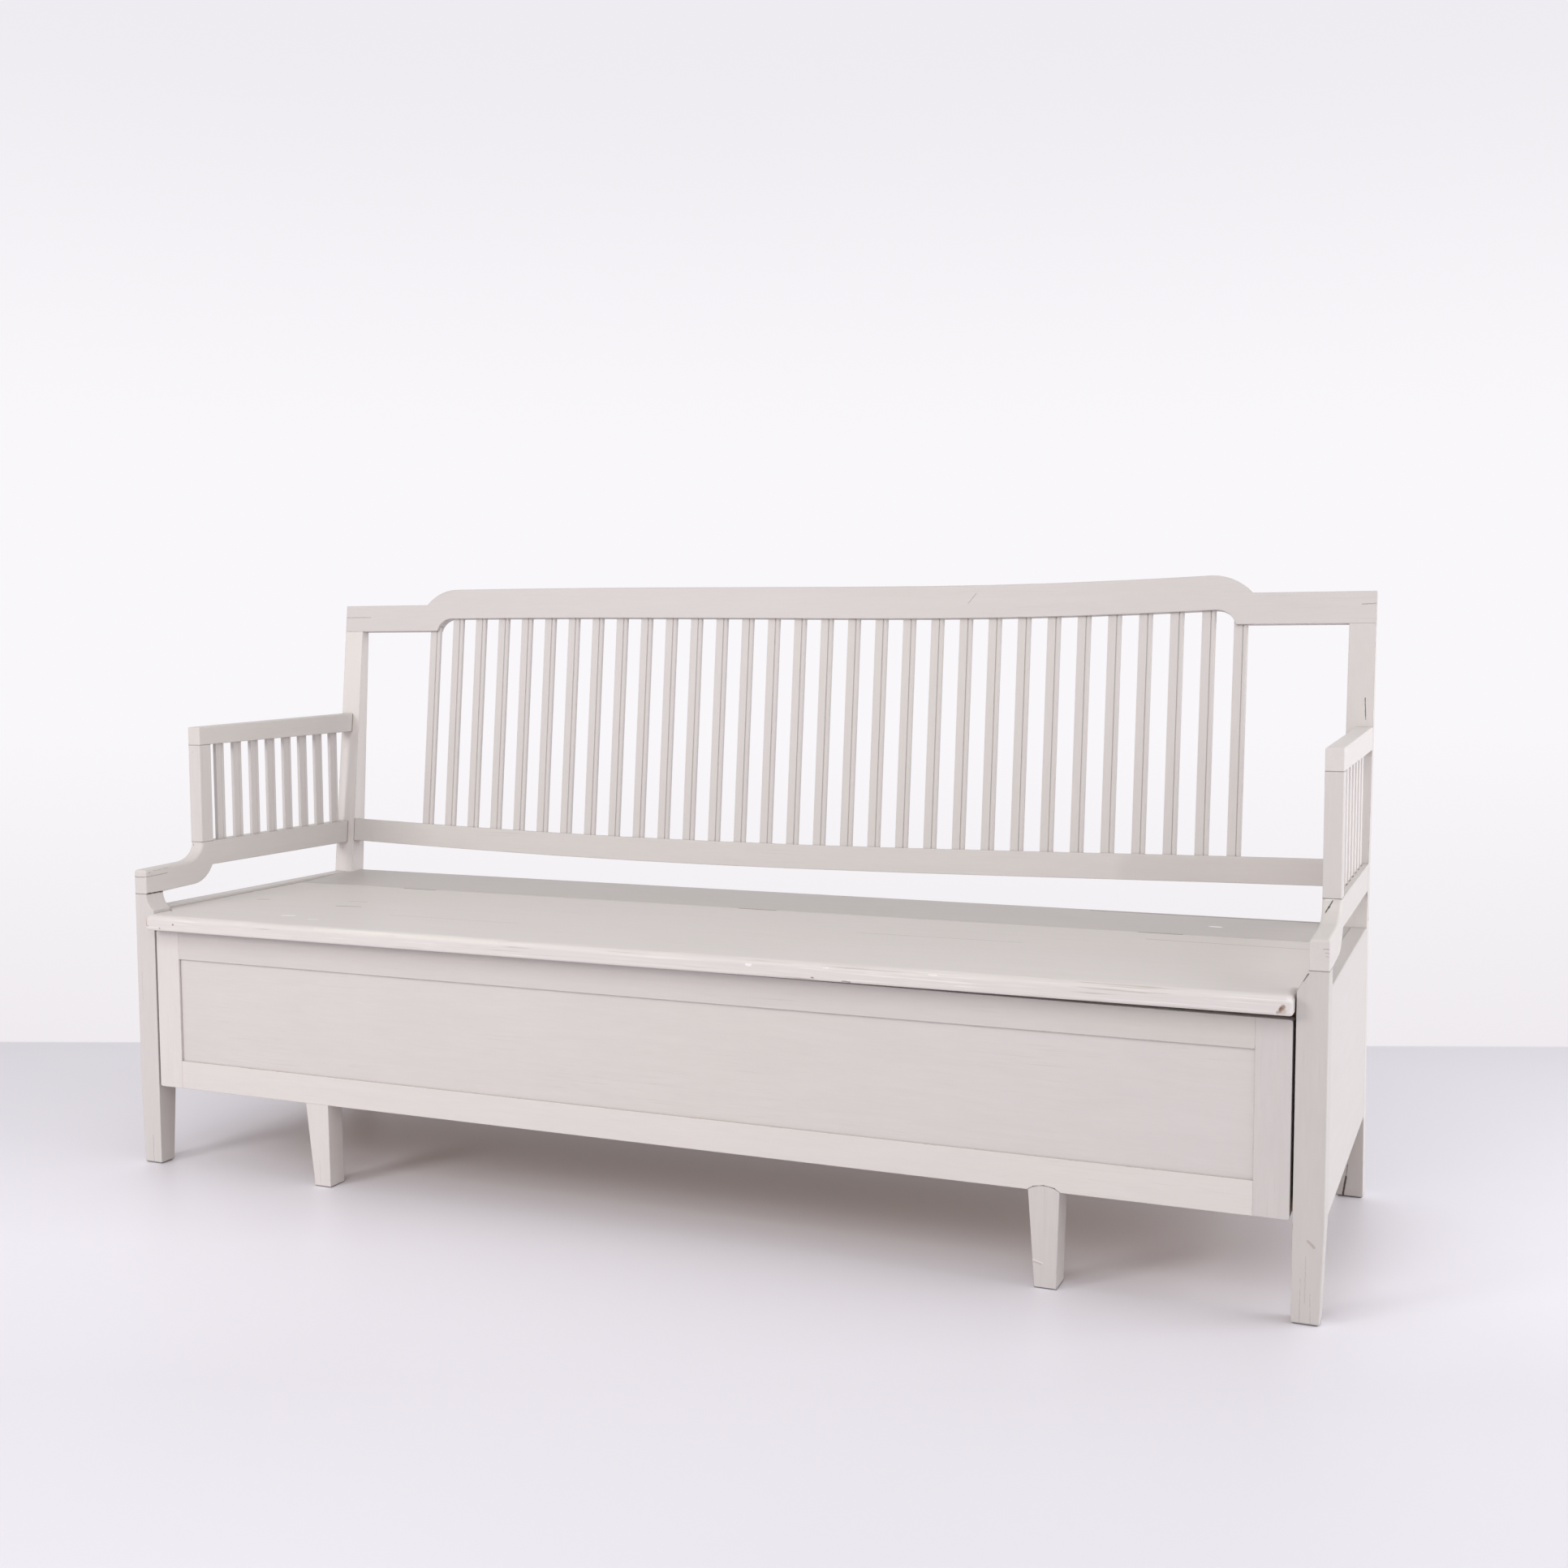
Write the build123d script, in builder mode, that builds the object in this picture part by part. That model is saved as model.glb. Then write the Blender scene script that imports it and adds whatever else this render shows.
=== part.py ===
from build123d import *

import os
from math import cos, pi, radians, sin, tan

# Swedish pull-out bench bed: a painted wooden settle whose box front slides out as a second bed half.
# Frame: X runs along the bench, the front faces -Y, +Z is up. The origin lies on the floor, in the
# middle of the overall box. Depths are measured back from the front faces of the front posts.

os.makedirs("parts", exist_ok=True)

# ---------------------------------------------------------------- driving dimensions, millimetres
bench_length = 2000.0
post_width = 41.0
front_post_depth = 40.0
front_foot_depth = 31.0
foot_taper = 4.5
foot_taper_height = 134.0
foot_chamfer = 3.0

arm_thickness = 26.0
arm_rail_rise = 107.0
arm_rail_height = 42.5
arm_step = 34.0
arm_nose_height = 41.5
arm_nose_rise = 3.0
arm_nose_radius = 4.5
arm_cove_run = 45.0
arm_under_start = 117.0
arm_under_end = 168.0
neck_flare_height = 28.0
left_neck_hollow = 4.0
right_neck_hollow = 0.6
arm_stile_setback = 143.0
arm_stile_depth = 30.0
arm_top_front = 760.0
arm_top_front_thickness = 32.0
arm_top_rear = 769.0
arm_top_rear_thickness = 36.5
arm_slat_count = 8
arm_slat_pitch = 47.7
arm_first_slat = 208.0

seat_height = 445.0
lid_thickness = 26.5
lid_overhang = 25.0
lid_depth = 445.0
lid_nose_radius = 10.0
lid_corner_radius = 6.0
lid_under_radius = 3.0
strip_rise = 5.5
panel_rise = 5.0
box_floor_clearance = 140.0

back_bend_depth = 559.0
back_rake = 6.3
leg_splay = 33.0
rear_leg_thickness = 37.0
rear_foot_depth = 33.0

crest_end_bottom = 934.5
crest_end_top = 986.5
crest_hump_bottom = 958.5
crest_hump_top = 1016.0
crest_end_length = 194.0
crest_shoulder_run = 67.0
crest_cove_margin = 26.0
crest_cove_run = 32.0
crest_thickness = 20.0
crest_sag = 9.5
crest_sag_skew = 1.97
back_rail_rise = 68.5
back_rail_height = 43.5
back_rail_thickness = 24.0
back_rail_sag = 14.5
back_rail_sag_skew = 1.25

slat_width = 22.5
slat_thickness = 6.5
slat_bead = 7.0
slat_quirk = 1.6
slat_quirk_depth = 1.5
slat_inset = 6.5
slat_seat = 12.0
back_slat_count = 31
end_slat_margin = 7.5

end_panel_thickness = 25.0
tongue_thickness = 9.0
tongue_length = 8.0
tongue_margin = 16.0
tenon_thickness = 9.0
tenon_length = 14.0

front_side_gap = 4.0
front_top_gap = 4.0
front_top_droop = 5.5
front_thickness = 24.0
front_stile_width = 48.0
front_rail_height = 48.0
field_recess = 4.0
field_thickness = 10.0
field_groove = 9.0
front_corner_radius = 4.0

box_leg_half_spacing = 622.0
box_leg_width = 45.0
box_leg_foot_width = 31.5
left_leg_foot_shift = 8.5
right_leg_foot_shift = 3.2
left_leg_depth = 37.0
right_leg_depth = 44.0
box_leg_tongue_thickness = 10.0
box_leg_arch = 7.0
box_leg_glide = 1.0

box_side_thickness = 20.0
box_side_tongue = 8.0
box_rear_gap = 8.0
stop_cleat_thickness = 17.0
stop_cleat_drop = 100.0
bearer_thickness = 25.0
bearer_width = 30.0
runner_thickness = 20.0
seat_bearer_thickness = 18.0
guide_height = 25.0
stop_cleat_height = 60.0
bed_slat_thickness = 18.0
bed_slat_width = 62.0
bed_slat_pairs = 12
rear_rail_height = 45.0
upper_rear_rail_height = 35.0
rear_rail_thickness = 28.0
rear_rail_inset = 4.0
back_panel_thickness = 10.0
ledger_depth = 36.0
batten_width = 60.0
batten_thickness = 19.0
batten_spacing = 620.0
batten_count = 3

hinge_length = 70.0
hinge_leaf_height = 19.0
hinge_leaf_thickness = 2.0
hinge_barrel_radius = 2.5
hinge_pin_radius = 1.2
hinge_spacing = 700.0
hinge_count = 3
hinge_knuckles = 5
hinge_screw_radius = 1.8
hinge_screw_length = 16.0
hinge_axis_drop = 2.5
hinge_edge_chamfer = 3.3
hinge_screw_head = 3.2
leg_screw_radius = 2.2
leg_screw_length = 22.0
leg_screw_head = 4.2
batten_screw_length = 34.0
batten_screw_margin = 35.0
screw_head_height = 1.6

# ---------------------------------------------------------------- named clearances
joint_gap = 0.15
end_gap = 0.3
slide_gap = 0.3
side_play = 2.0
seam_gap = 0.6
pin_clearance = 0.05
lid_end_gap = 1.0
edge_radius = 2.0
arris = 1.2

# ---------------------------------------------------------------- values worked out from the above
half = bench_length / 2
post_inner = half - post_width
arm_inner = half - arm_thickness
panel_inner = half - end_panel_thickness
arm_rail_top = seat_height + arm_rail_rise
arm_rail_bottom = arm_rail_top - arm_rail_height
arm_low_height = arm_rail_top - arm_step
neck_height = arm_low_height - arm_nose_height
back_rail_bottom = seat_height + back_rail_rise
back_rail_top = back_rail_bottom + back_rail_height
back_bend_height = seat_height + panel_rise
rake = radians(back_rake)
leg_lean = leg_splay / back_bend_height

crest_shoulder_half = half - crest_end_length
crest_hump_half = crest_shoulder_half - crest_shoulder_run
crest_cove_half = crest_shoulder_half - crest_cove_margin
crest_slot_half = crest_cove_half - crest_cove_run
back_slat_pitch = 2 * (crest_cove_half + end_slat_margin) / (back_slat_count - 1)

rearmost = back_bend_depth + (crest_hump_top - back_bend_height) * tan(rake) + crest_thickness * cos(rake)
front_y = (lid_overhang - rearmost) / 2

lid_bottom = seat_height - lid_thickness
panel_top = back_bend_height
panel_bottom = box_floor_clearance


def depth(distance):
    """Y of a point that lies this far behind the front faces of the front posts."""
    return front_y + distance


def back_face(z):
    """Y of the raked front face of the back, above the bend."""
    return depth(back_bend_depth + (z - back_bend_height) * tan(rake))


def leg_face(z):
    """Y of the splayed front face of a rear leg, below the bend."""
    return depth(back_bend_depth + (back_bend_height - z) * leg_lean)


def up_slope(z):
    """Distance along the raked back that reaches the height z."""
    return (z - back_bend_height) / cos(rake)


def sag_at(x, reach, sag, skew):
    """Drop of a long rail at x: nothing at either end, deepest off-centre."""
    share = min(max((x + reach) / (2 * reach), 0.0), 1.0)
    return sag * sin(pi * share**skew)


def crest_drop(x):
    return sag_at(x, crest_slot_half, crest_sag, crest_sag_skew)


def back_rail_drop(x):
    return sag_at(-x, post_inner, back_rail_sag, back_rail_sag_skew)


back_plane = Plane(
    origin=(0, depth(back_bend_depth), back_bend_height),
    x_dir=(1, 0, 0),
    z_dir=(0, -cos(rake), sin(rake)),
)


def slope_section(z):
    """Plane square to the raked back at height z: local X along the bench, local Y backwards."""
    foot = back_plane.from_local_coords((0, up_slope(z), 0))
    return Plane(origin=foot, x_dir=(1, 0, 0), z_dir=(0, sin(rake), cos(rake)))


# ---------------------------------------------------------------- small building helpers
def bar(x, y, z, mode=Mode.ADD):
    """Box between two limits on each axis."""
    with Locations(((x[0] + x[1]) / 2, (y[0] + y[1]) / 2, (z[0] + z[1]) / 2)):
        Box(abs(x[1] - x[0]), abs(y[1] - y[0]), abs(z[1] - z[0]), mode=mode)


def side_slab(points, x_from, x_to, mode=Mode.ADD):
    """Prism along X with an outline given as (y, z) points."""
    with BuildSketch(Plane.YZ.offset(x_from)) as outline:
        with BuildLine():
            Polyline(*points, close=True)
        make_face()
    extrude(outline.sketch, amount=x_to - x_from, mode=mode)


def band(face, z_low, z_high, near, far):
    """Four (y, z) points of a strip that follows a sloping face, from near to far behind it."""
    return [
        (face(z_low) + near, z_low),
        (face(z_high) + near, z_high),
        (face(z_high) + far, z_high),
        (face(z_low) + far, z_low),
    ]


def rod(x, y, z, radius, length, direction, mode=Mode.ADD):
    """Round bar that starts at a point and runs along a direction."""
    with BuildSketch(Plane(origin=(x, y, z), z_dir=direction)) as circle:
        Circle(radius)
    extrude(circle.sketch, amount=length, mode=mode)


def screw(place, direction, radius, head_radius, length, gap=0.0):
    """Countersunk screw driven from a point along a direction, or its hole when a gap is given."""
    mode = Mode.SUBTRACT if gap else Mode.ADD
    rod(*place, radius + gap, length + gap, direction, mode)
    with Locations(Plane(origin=place, z_dir=direction)):
        Cone(
            head_radius + gap,
            radius + gap,
            screw_head_height + gap,
            align=(Align.CENTER, Align.CENTER, Align.MIN),
            mode=mode,
        )


def mirrored(piece):
    """The same piece for the other end of the bench."""
    with BuildPart() as twin:
        mirror(piece.part, about=Plane.YZ)
    return twin


def save(piece, node):
    piece.part.label = node
    export_step(piece.part, f"parts/{node}.step")


def save_pair(left, node):
    """A left piece and its mirror image on the right."""
    save(left, f"left_{node}")
    save(mirrored(left), f"right_{node}")


# ---------------------------------------------------------------- slat section, shared by back and arms
def slat_outline(inset):
    """Beaded slat: flat face, a quirk, then a round bead along one edge; local Y runs backwards."""
    left = -slat_width / 2
    right = slat_width / 2
    quirk_left = right - slat_bead - slat_quirk
    bead_left = right - slat_bead
    with BuildSketch() as section:
        with BuildLine():
            Polyline(
                (left, inset + slat_thickness),
                (left, inset),
                (quirk_left, inset),
                (quirk_left + slat_quirk / 2, inset + slat_quirk_depth),
                (bead_left, inset + slat_quirk_depth / 2),
            )
            ThreePointArc(
                (bead_left, inset + slat_quirk_depth / 2),
                (bead_left + slat_bead / 2, inset - slat_quirk_depth / 3),
                (right, inset + slat_quirk_depth),
            )
            Polyline(
                (right, inset + slat_quirk_depth),
                (right, inset + slat_thickness),
                (left, inset + slat_thickness),
            )
        make_face()
    return section.sketch


# ---------------------------------------------------------------- front posts
def post_neck_tenon(gap=0.0):
    """Stub tenon on the neck of the left front post, or its mortise when a gap is given."""
    middle = -half + arm_thickness / 2
    margin = front_post_depth / 5
    bar(
        (middle - tenon_thickness / 2 - gap, middle + tenon_thickness / 2 + gap),
        (depth(margin - gap), depth(front_post_depth - margin + gap)),
        (neck_height - gap, neck_height + tenon_length + gap * 2),
        mode=Mode.SUBTRACT if gap else Mode.ADD,
    )


def panel_tongue(gap=0.0):
    """Both end tongues of the left end panel as one strip, or their grooves when a gap is given."""
    middle = -half + end_panel_thickness / 2
    low = panel_bottom + tongue_margin - gap
    high = panel_top - neck_flare_height - tongue_margin + gap
    reach = tongue_length + gap
    side_slab(
        [
            (depth(front_post_depth) - reach, low),
            (leg_face(low) + reach, low),
            (leg_face(high) + reach, high),
            (depth(front_post_depth) - reach, high),
        ],
        middle - tongue_thickness / 2 - gap,
        middle + tongue_thickness / 2 + gap,
        mode=Mode.SUBTRACT if gap else Mode.ADD,
    )


def front_post(neck_hollow):
    """Left front post: tapered foot, and a hollow flare from the arm's width to the post's."""
    with BuildPart() as post:
        with BuildSketch(Plane.XZ.offset(-depth(0))):
            with BuildLine():
                flare_top = (-arm_inner, neck_height)
                flare_foot = (-post_inner, neck_height - neck_flare_height)
                Polyline(
                    flare_foot,
                    (-post_inner, foot_chamfer),
                    (-post_inner - foot_chamfer, 0),
                    (-half + foot_taper + foot_chamfer, 0),
                    (-half + foot_taper, foot_chamfer),
                    (-half, foot_taper_height),
                    (-half, neck_height),
                    flare_top,
                )
                SagittaArc(flare_top, flare_foot, -neck_hollow)
            make_face()
        extrude(amount=-front_post_depth)
        fillet(post.faces().sort_by(Axis.Y)[0].edges().sort_by(Axis.X)[:2], radius=edge_radius)
        side_slab(
            [
                (depth(0), foot_chamfer),
                (depth(foot_chamfer), 0),
                (depth(front_foot_depth - foot_chamfer), 0),
                (depth(front_foot_depth), foot_chamfer),
                (depth(front_post_depth), foot_taper_height),
                (depth(front_post_depth), neck_height),
                (depth(0), neck_height),
            ],
            -half,
            -post_inner,
            mode=Mode.INTERSECT,
        )
        post_neck_tenon()
        panel_tongue(joint_gap)
    return post


save(front_post(left_neck_hollow), "left_front_post")
save(mirrored(front_post(right_neck_hollow)), "right_front_post")


# ---------------------------------------------------------------- rear posts
def arm_butt(z_low, z_high, gap=0.0):
    """Stub tenon of a left arm rail into the rear post, or its mortise when a gap is given."""
    middle = -half + arm_thickness / 2
    margin = (z_high - z_low) / 5
    side_slab(
        band(back_face, z_low + margin - gap, z_high - margin + gap, -gap, tenon_length + gap * 2),
        middle - tenon_thickness / 2 - gap,
        middle + tenon_thickness / 2 + gap,
        mode=Mode.SUBTRACT if gap else Mode.ADD,
    )


def back_rail_tenon(gap=0.0, side=-1):
    """Stub tenon at one end of the lower back rail, or its mortise in the post when a gap is given."""
    near = back_rail_thickness / 2 - tenon_thickness / 2 - gap
    side_slab(
        band(
            back_face,
            back_rail_bottom + back_rail_height / 5 - gap,
            back_rail_top - back_rail_height / 5 + gap,
            near,
            near + tenon_thickness + gap * 2,
        ),
        side * (post_inner - gap),
        side * (post_inner + tenon_length + gap * 2),
        mode=Mode.SUBTRACT if gap else Mode.ADD,
    )


def crest_tenon(gap=0.0, side=-1):
    """Tenon on the top of a rear post, or its mortise in the crest when a gap is given."""
    middle = side * (half - post_width / 2)
    side_slab(
        band(
            back_face,
            crest_end_bottom - tenon_length / 2,
            crest_end_bottom + tenon_length + gap * 2,
            crest_thickness / 2 - tenon_thickness / 2 - gap,
            crest_thickness / 2 + tenon_thickness / 2 + gap,
        ),
        middle - post_width / 4 - gap,
        middle + post_width / 4 + gap,
        mode=Mode.SUBTRACT if gap else Mode.ADD,
    )


def rear_rail_tenon(z_low, z_high, gap=0.0, side=-1):
    """Stub tenon at one end of a rear rail below the seat, or its mortise when a gap is given."""
    margin = (z_high - z_low) / 5
    near = rear_rail_inset + rear_rail_thickness / 2 - tenon_thickness / 2 - gap
    side_slab(
        band(leg_face, z_low + margin - gap, z_high - margin + gap, near, near + tenon_thickness + gap * 2),
        side * (post_inner - gap),
        side * (post_inner + tenon_length + gap * 2),
        mode=Mode.SUBTRACT if gap else Mode.ADD,
    )


lower_rear_rail_span = (panel_bottom, panel_bottom + rear_rail_height)
upper_rear_rail_span = (lid_bottom - upper_rear_rail_height, lid_bottom)
arm_lower_span = (arm_rail_bottom, arm_rail_top)
arm_upper_span = (arm_top_rear - arm_top_rear_thickness, arm_top_rear)

with BuildPart() as rear_post:
    side_slab(
        [
            (leg_face(0), 0),
            (leg_face(back_bend_height), back_bend_height),
            (back_face(crest_end_bottom), crest_end_bottom),
            (
                back_face(crest_end_bottom) + crest_thickness * cos(rake),
                crest_end_bottom - crest_thickness * sin(rake),
            ),
            (leg_face(back_bend_height) + rear_leg_thickness, back_bend_height),
            (leg_face(0) + rear_foot_depth, 0),
        ],
        -half,
        -post_inner,
    )
    chamfer(rear_post.faces().sort_by(Axis.Z)[0].edges(), length=foot_chamfer)
    crest_tenon()
    arm_butt(*arm_lower_span, joint_gap)
    arm_butt(*arm_upper_span, joint_gap)
    back_rail_tenon(joint_gap)
    rear_rail_tenon(*lower_rear_rail_span, joint_gap)
    rear_rail_tenon(*upper_rear_rail_span, joint_gap)
    panel_tongue(joint_gap)
save_pair(rear_post, "rear_post")

# ---------------------------------------------------------------- end panels
with BuildPart() as end_panel:
    side_slab(
        [
            (depth(front_post_depth), panel_bottom),
            (leg_face(panel_bottom), panel_bottom),
            (leg_face(panel_top), panel_top),
            (depth(front_post_depth), panel_top),
        ],
        -half,
        -panel_inner,
    )
    chamfer(end_panel.edges().filter_by(Axis.Y).group_by(Axis.Z)[-1], length=arris)
    panel_tongue()
save_pair(end_panel, "end_panel")


# ---------------------------------------------------------------- arms
def top_rail_under(y):
    """Height of the underside of an arm's top rail at a depth y behind the front."""
    front = arm_top_front - arm_top_front_thickness
    rear = arm_top_rear - arm_top_rear_thickness
    reach = back_face(rear) - depth(arm_stile_setback)
    return front + (rear - front) * (y - arm_stile_setback) / reach


arm_slat_seat = slat_seat
arm_slat_low = arm_rail_top - arm_slat_seat
arm_slat_high = top_rail_under(arm_stile_setback) + arm_slat_seat


def arm_slat_places():
    return [arm_first_slat + i * arm_slat_pitch for i in range(arm_slat_count)]


def arm_slat_mortises():
    """Pockets in the left arm's rails that hold the slat ends."""
    middle = -half + arm_thickness / 2
    for place in arm_slat_places():
        bar(
            (middle - slat_thickness / 2 - slat_quirk_depth, middle + slat_thickness / 2 + slat_quirk_depth),
            (depth(place - slat_width / 2 - joint_gap), depth(place + slat_width / 2 + joint_gap)),
            (arm_slat_low - end_gap, arm_slat_high + end_gap),
            mode=Mode.SUBTRACT,
        )


def stile_tenon(z_from, z_to, gap=0.0):
    """Stub tenon at one end of the left arm's front stile, or its mortise when a gap is given."""
    middle = -half + arm_thickness / 2
    bar(
        (middle - tenon_thickness / 2 - gap, middle + tenon_thickness / 2 + gap),
        (
            depth(arm_stile_setback + arm_stile_depth / 5 - gap),
            depth(arm_stile_setback + arm_stile_depth * 4 / 5 + gap),
        ),
        (z_from - gap, z_to + gap),
        mode=Mode.SUBTRACT if gap else Mode.ADD,
    )


stile_rear = arm_stile_setback + arm_stile_depth
stile_low_tenon = (arm_rail_top - tenon_length, arm_rail_top + edge_radius)
stile_high_tenon = (
    top_rail_under(arm_stile_setback) - edge_radius,
    top_rail_under(stile_rear) + tenon_length,
)

with BuildPart() as arm_lower_rail:
    with BuildSketch(Plane.YZ.offset(-half)):
        with BuildLine():
            cove_start = depth(arm_stile_setback - arm_cove_run)
            cove_height = arm_step - arm_nose_rise
            under_start = (depth(arm_under_start), neck_height + arm_nose_rise)
            under_end = (depth(arm_under_end), arm_rail_bottom)
            Polyline(
                (cove_start, arm_low_height + arm_nose_rise),
                (depth(0), arm_low_height),
                (depth(0), neck_height),
                (depth(front_post_depth), neck_height),
                under_start,
            )
            TangentArc(under_start, under_end, tangent=(1, 0))
            Polyline(
                under_end,
                (back_face(arm_rail_bottom), arm_rail_bottom),
                (back_face(arm_rail_top), arm_rail_top),
                (depth(arm_stile_setback), arm_rail_top),
            )
            EllipticalCenterArc(
                (cove_start, arm_rail_top), arm_cove_run, cove_height, start_angle=270, arc_size=90
            )
        make_face()
    extrude(amount=arm_thickness)
    fillet(arm_lower_rail.edges().filter_by(Axis.Z).group_by(Axis.Y)[0], radius=edge_radius)
    nose_edges = arm_lower_rail.edges().filter_by(Axis.X).group_by(Axis.Y)[0]
    fillet(nose_edges.sort_by(Axis.Z)[-1], radius=arm_nose_radius)
    arm_butt(*arm_lower_span)
    post_neck_tenon(joint_gap)
    stile_tenon(*stile_low_tenon, joint_gap)
    arm_slat_mortises()
save_pair(arm_lower_rail, "arm_lower_rail")

with BuildPart() as arm_top_rail:
    side_slab(
        [
            (depth(arm_stile_setback), arm_top_front - arm_top_front_thickness),
            (depth(arm_stile_setback), arm_top_front),
            (back_face(arm_top_rear), arm_top_rear),
            (back_face(arm_upper_span[0]), arm_upper_span[0]),
        ],
        -half,
        -arm_inner,
    )
    fillet(arm_top_rail.edges().filter_by(Axis.Z), radius=edge_radius)
    top_edges = arm_top_rail.faces().sort_by(Axis.Z)[-1].edges().sort_by(Axis.X)
    fillet([top_edges[0], top_edges[-1]], radius=edge_radius)
    arm_butt(*arm_upper_span)
    stile_tenon(*stile_high_tenon, joint_gap)
    arm_slat_mortises()
save_pair(arm_top_rail, "arm_top_rail")

with BuildPart() as arm_stile:
    side_slab(
        [
            (depth(arm_stile_setback), arm_rail_top),
            (depth(arm_stile_setback), top_rail_under(arm_stile_setback)),
            (depth(stile_rear), top_rail_under(stile_rear)),
            (depth(stile_rear), arm_rail_top),
        ],
        -half,
        -arm_inner,
    )
    fillet(arm_stile.edges().filter_by(Axis.Z), radius=edge_radius)
    stile_tenon(*stile_low_tenon)
    stile_tenon(*stile_high_tenon)
save_pair(arm_stile, "arm_stile")

with BuildPart() as arm_slats:
    slat_face_x = -half + arm_thickness / 2 + slat_thickness / 2
    for place in arm_slat_places():
        section_plane = Plane(
            origin=(slat_face_x, depth(place), arm_slat_low),
            x_dir=(0, 1, 0),
            z_dir=(0, 0, 1),
        )
        with BuildSketch(section_plane):
            add(slat_outline(0))
        extrude(amount=arm_slat_high - arm_slat_low)
save_pair(arm_slats, "arm_slats")

# ---------------------------------------------------------------- back: crest rail, lower rail and slats
slat_low = back_rail_top - back_rail_sag - slat_seat
slat_high = crest_hump_bottom + slat_seat
end_slat_high = crest_end_bottom + slat_seat


def slat_pockets(z_low, z_high, count):
    """Pockets for the ends of the middle slats, cut square to the raked back."""
    with BuildSketch(slope_section(z_low)) as pockets:
        with Locations((0, slat_inset + slat_thickness / 2)):
            with GridLocations(back_slat_pitch, 0, count, 1):
                Rectangle(slat_width + joint_gap * 2, slat_thickness + slat_quirk_depth + joint_gap * 2)
    extrude(pockets.sketch, amount=(z_high - z_low) / cos(rake), mode=Mode.SUBTRACT)


with BuildPart() as crest_rail:
    end_low = up_slope(crest_end_bottom)
    end_high = up_slope(crest_end_top)
    hump_low = up_slope(crest_hump_bottom)
    hump_high = up_slope(crest_hump_top)
    sag_stations = [-0.75, -0.5, -0.25, 0.0, 0.2, 0.4, 0.6, 0.8]
    under_points = [
        (x * crest_slot_half, hump_low - crest_drop(x * crest_slot_half)) for x in sag_stations
    ]
    over_points = [
        (x * crest_hump_half, hump_high - crest_drop(x * crest_slot_half)) for x in sag_stations
    ]
    cove_depth = hump_low - end_low
    cove_radius = (crest_cove_run**2 + cove_depth**2) / (2 * cove_depth)
    shoulder_drop = hump_high - end_high
    shoulder_radius = (crest_shoulder_run**2 + shoulder_drop**2) / (2 * shoulder_drop)
    with BuildSketch(back_plane):
        with BuildLine():
            Polyline(
                (-crest_cove_half, end_low),
                (-half, end_low),
                (-half, end_high),
                (-crest_shoulder_half, end_high),
            )
            RadiusArc((-crest_shoulder_half, end_high), (-crest_hump_half, hump_high), shoulder_radius)
            Spline(
                (-crest_hump_half, hump_high),
                *over_points,
                (crest_hump_half, hump_high),
            )
            RadiusArc((crest_hump_half, hump_high), (crest_shoulder_half, end_high), shoulder_radius)
            Polyline(
                (crest_shoulder_half, end_high),
                (half, end_high),
                (half, end_low),
                (crest_cove_half, end_low),
            )
            RadiusArc((crest_cove_half, end_low), (crest_slot_half, hump_low), -cove_radius)
            Spline(
                (crest_slot_half, hump_low),
                *reversed(under_points),
                (-crest_slot_half, hump_low),
            )
            RadiusArc((-crest_slot_half, hump_low), (-crest_cove_half, end_low), -cove_radius)
        make_face()
    extrude(amount=-crest_thickness)
    for side in (0, -1):
        rim = crest_rail.faces().sort_by(Axis.Y)[side].edges()
        fillet([e for e in rim if e.center().Z > crest_end_top - edge_radius * 2], radius=edge_radius)
    slat_pockets(slat_low, slat_high + end_gap, back_slat_count - 2)
    slat_pockets(slat_low, end_slat_high + end_gap, back_slat_count)
    for end in (-1, 1):
        crest_tenon(joint_gap, end)
save(crest_rail, "crest_rail")

with BuildPart() as lower_back_rail:
    rail_low = up_slope(back_rail_bottom)
    rail_high = up_slope(back_rail_top)
    rail_stations = [-0.8, -0.6, -0.4, -0.2, 0.0, 0.25, 0.5, 0.75]
    rail_drops = [(x * post_inner, back_rail_drop(x * post_inner)) for x in rail_stations]
    with BuildSketch(back_plane):
        with BuildLine():
            Spline(
                (-post_inner, rail_high),
                *[(x, rail_high - d) for x, d in rail_drops],
                (post_inner, rail_high),
            )
            Line((post_inner, rail_high), (post_inner, rail_low))
            Spline(
                (post_inner, rail_low),
                *[(x, rail_low - d) for x, d in reversed(rail_drops)],
                (-post_inner, rail_low),
            )
            Line((-post_inner, rail_low), (-post_inner, rail_high))
        make_face()
    extrude(amount=-back_rail_thickness)
    for end in (-1, 1):
        back_rail_tenon(side=end)
    slat_pockets(slat_low - end_gap, slat_high, back_slat_count)
save(lower_back_rail, "lower_back_rail")

with BuildPart() as back_slats:
    with BuildSketch(slope_section(slat_low)) as middle_sections:
        with GridLocations(back_slat_pitch, 0, back_slat_count - 2, 1):
            add(slat_outline(slat_inset))
    extrude(middle_sections.sketch, amount=(slat_high - slat_low) / cos(rake))
    with BuildSketch(slope_section(slat_low)) as end_sections:
        with GridLocations(back_slat_pitch * (back_slat_count - 1), 0, 2, 1):
            add(slat_outline(slat_inset))
    extrude(end_sections.sketch, amount=(end_slat_high - slat_low) / cos(rake))
save(back_slats, "back_slats")


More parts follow.
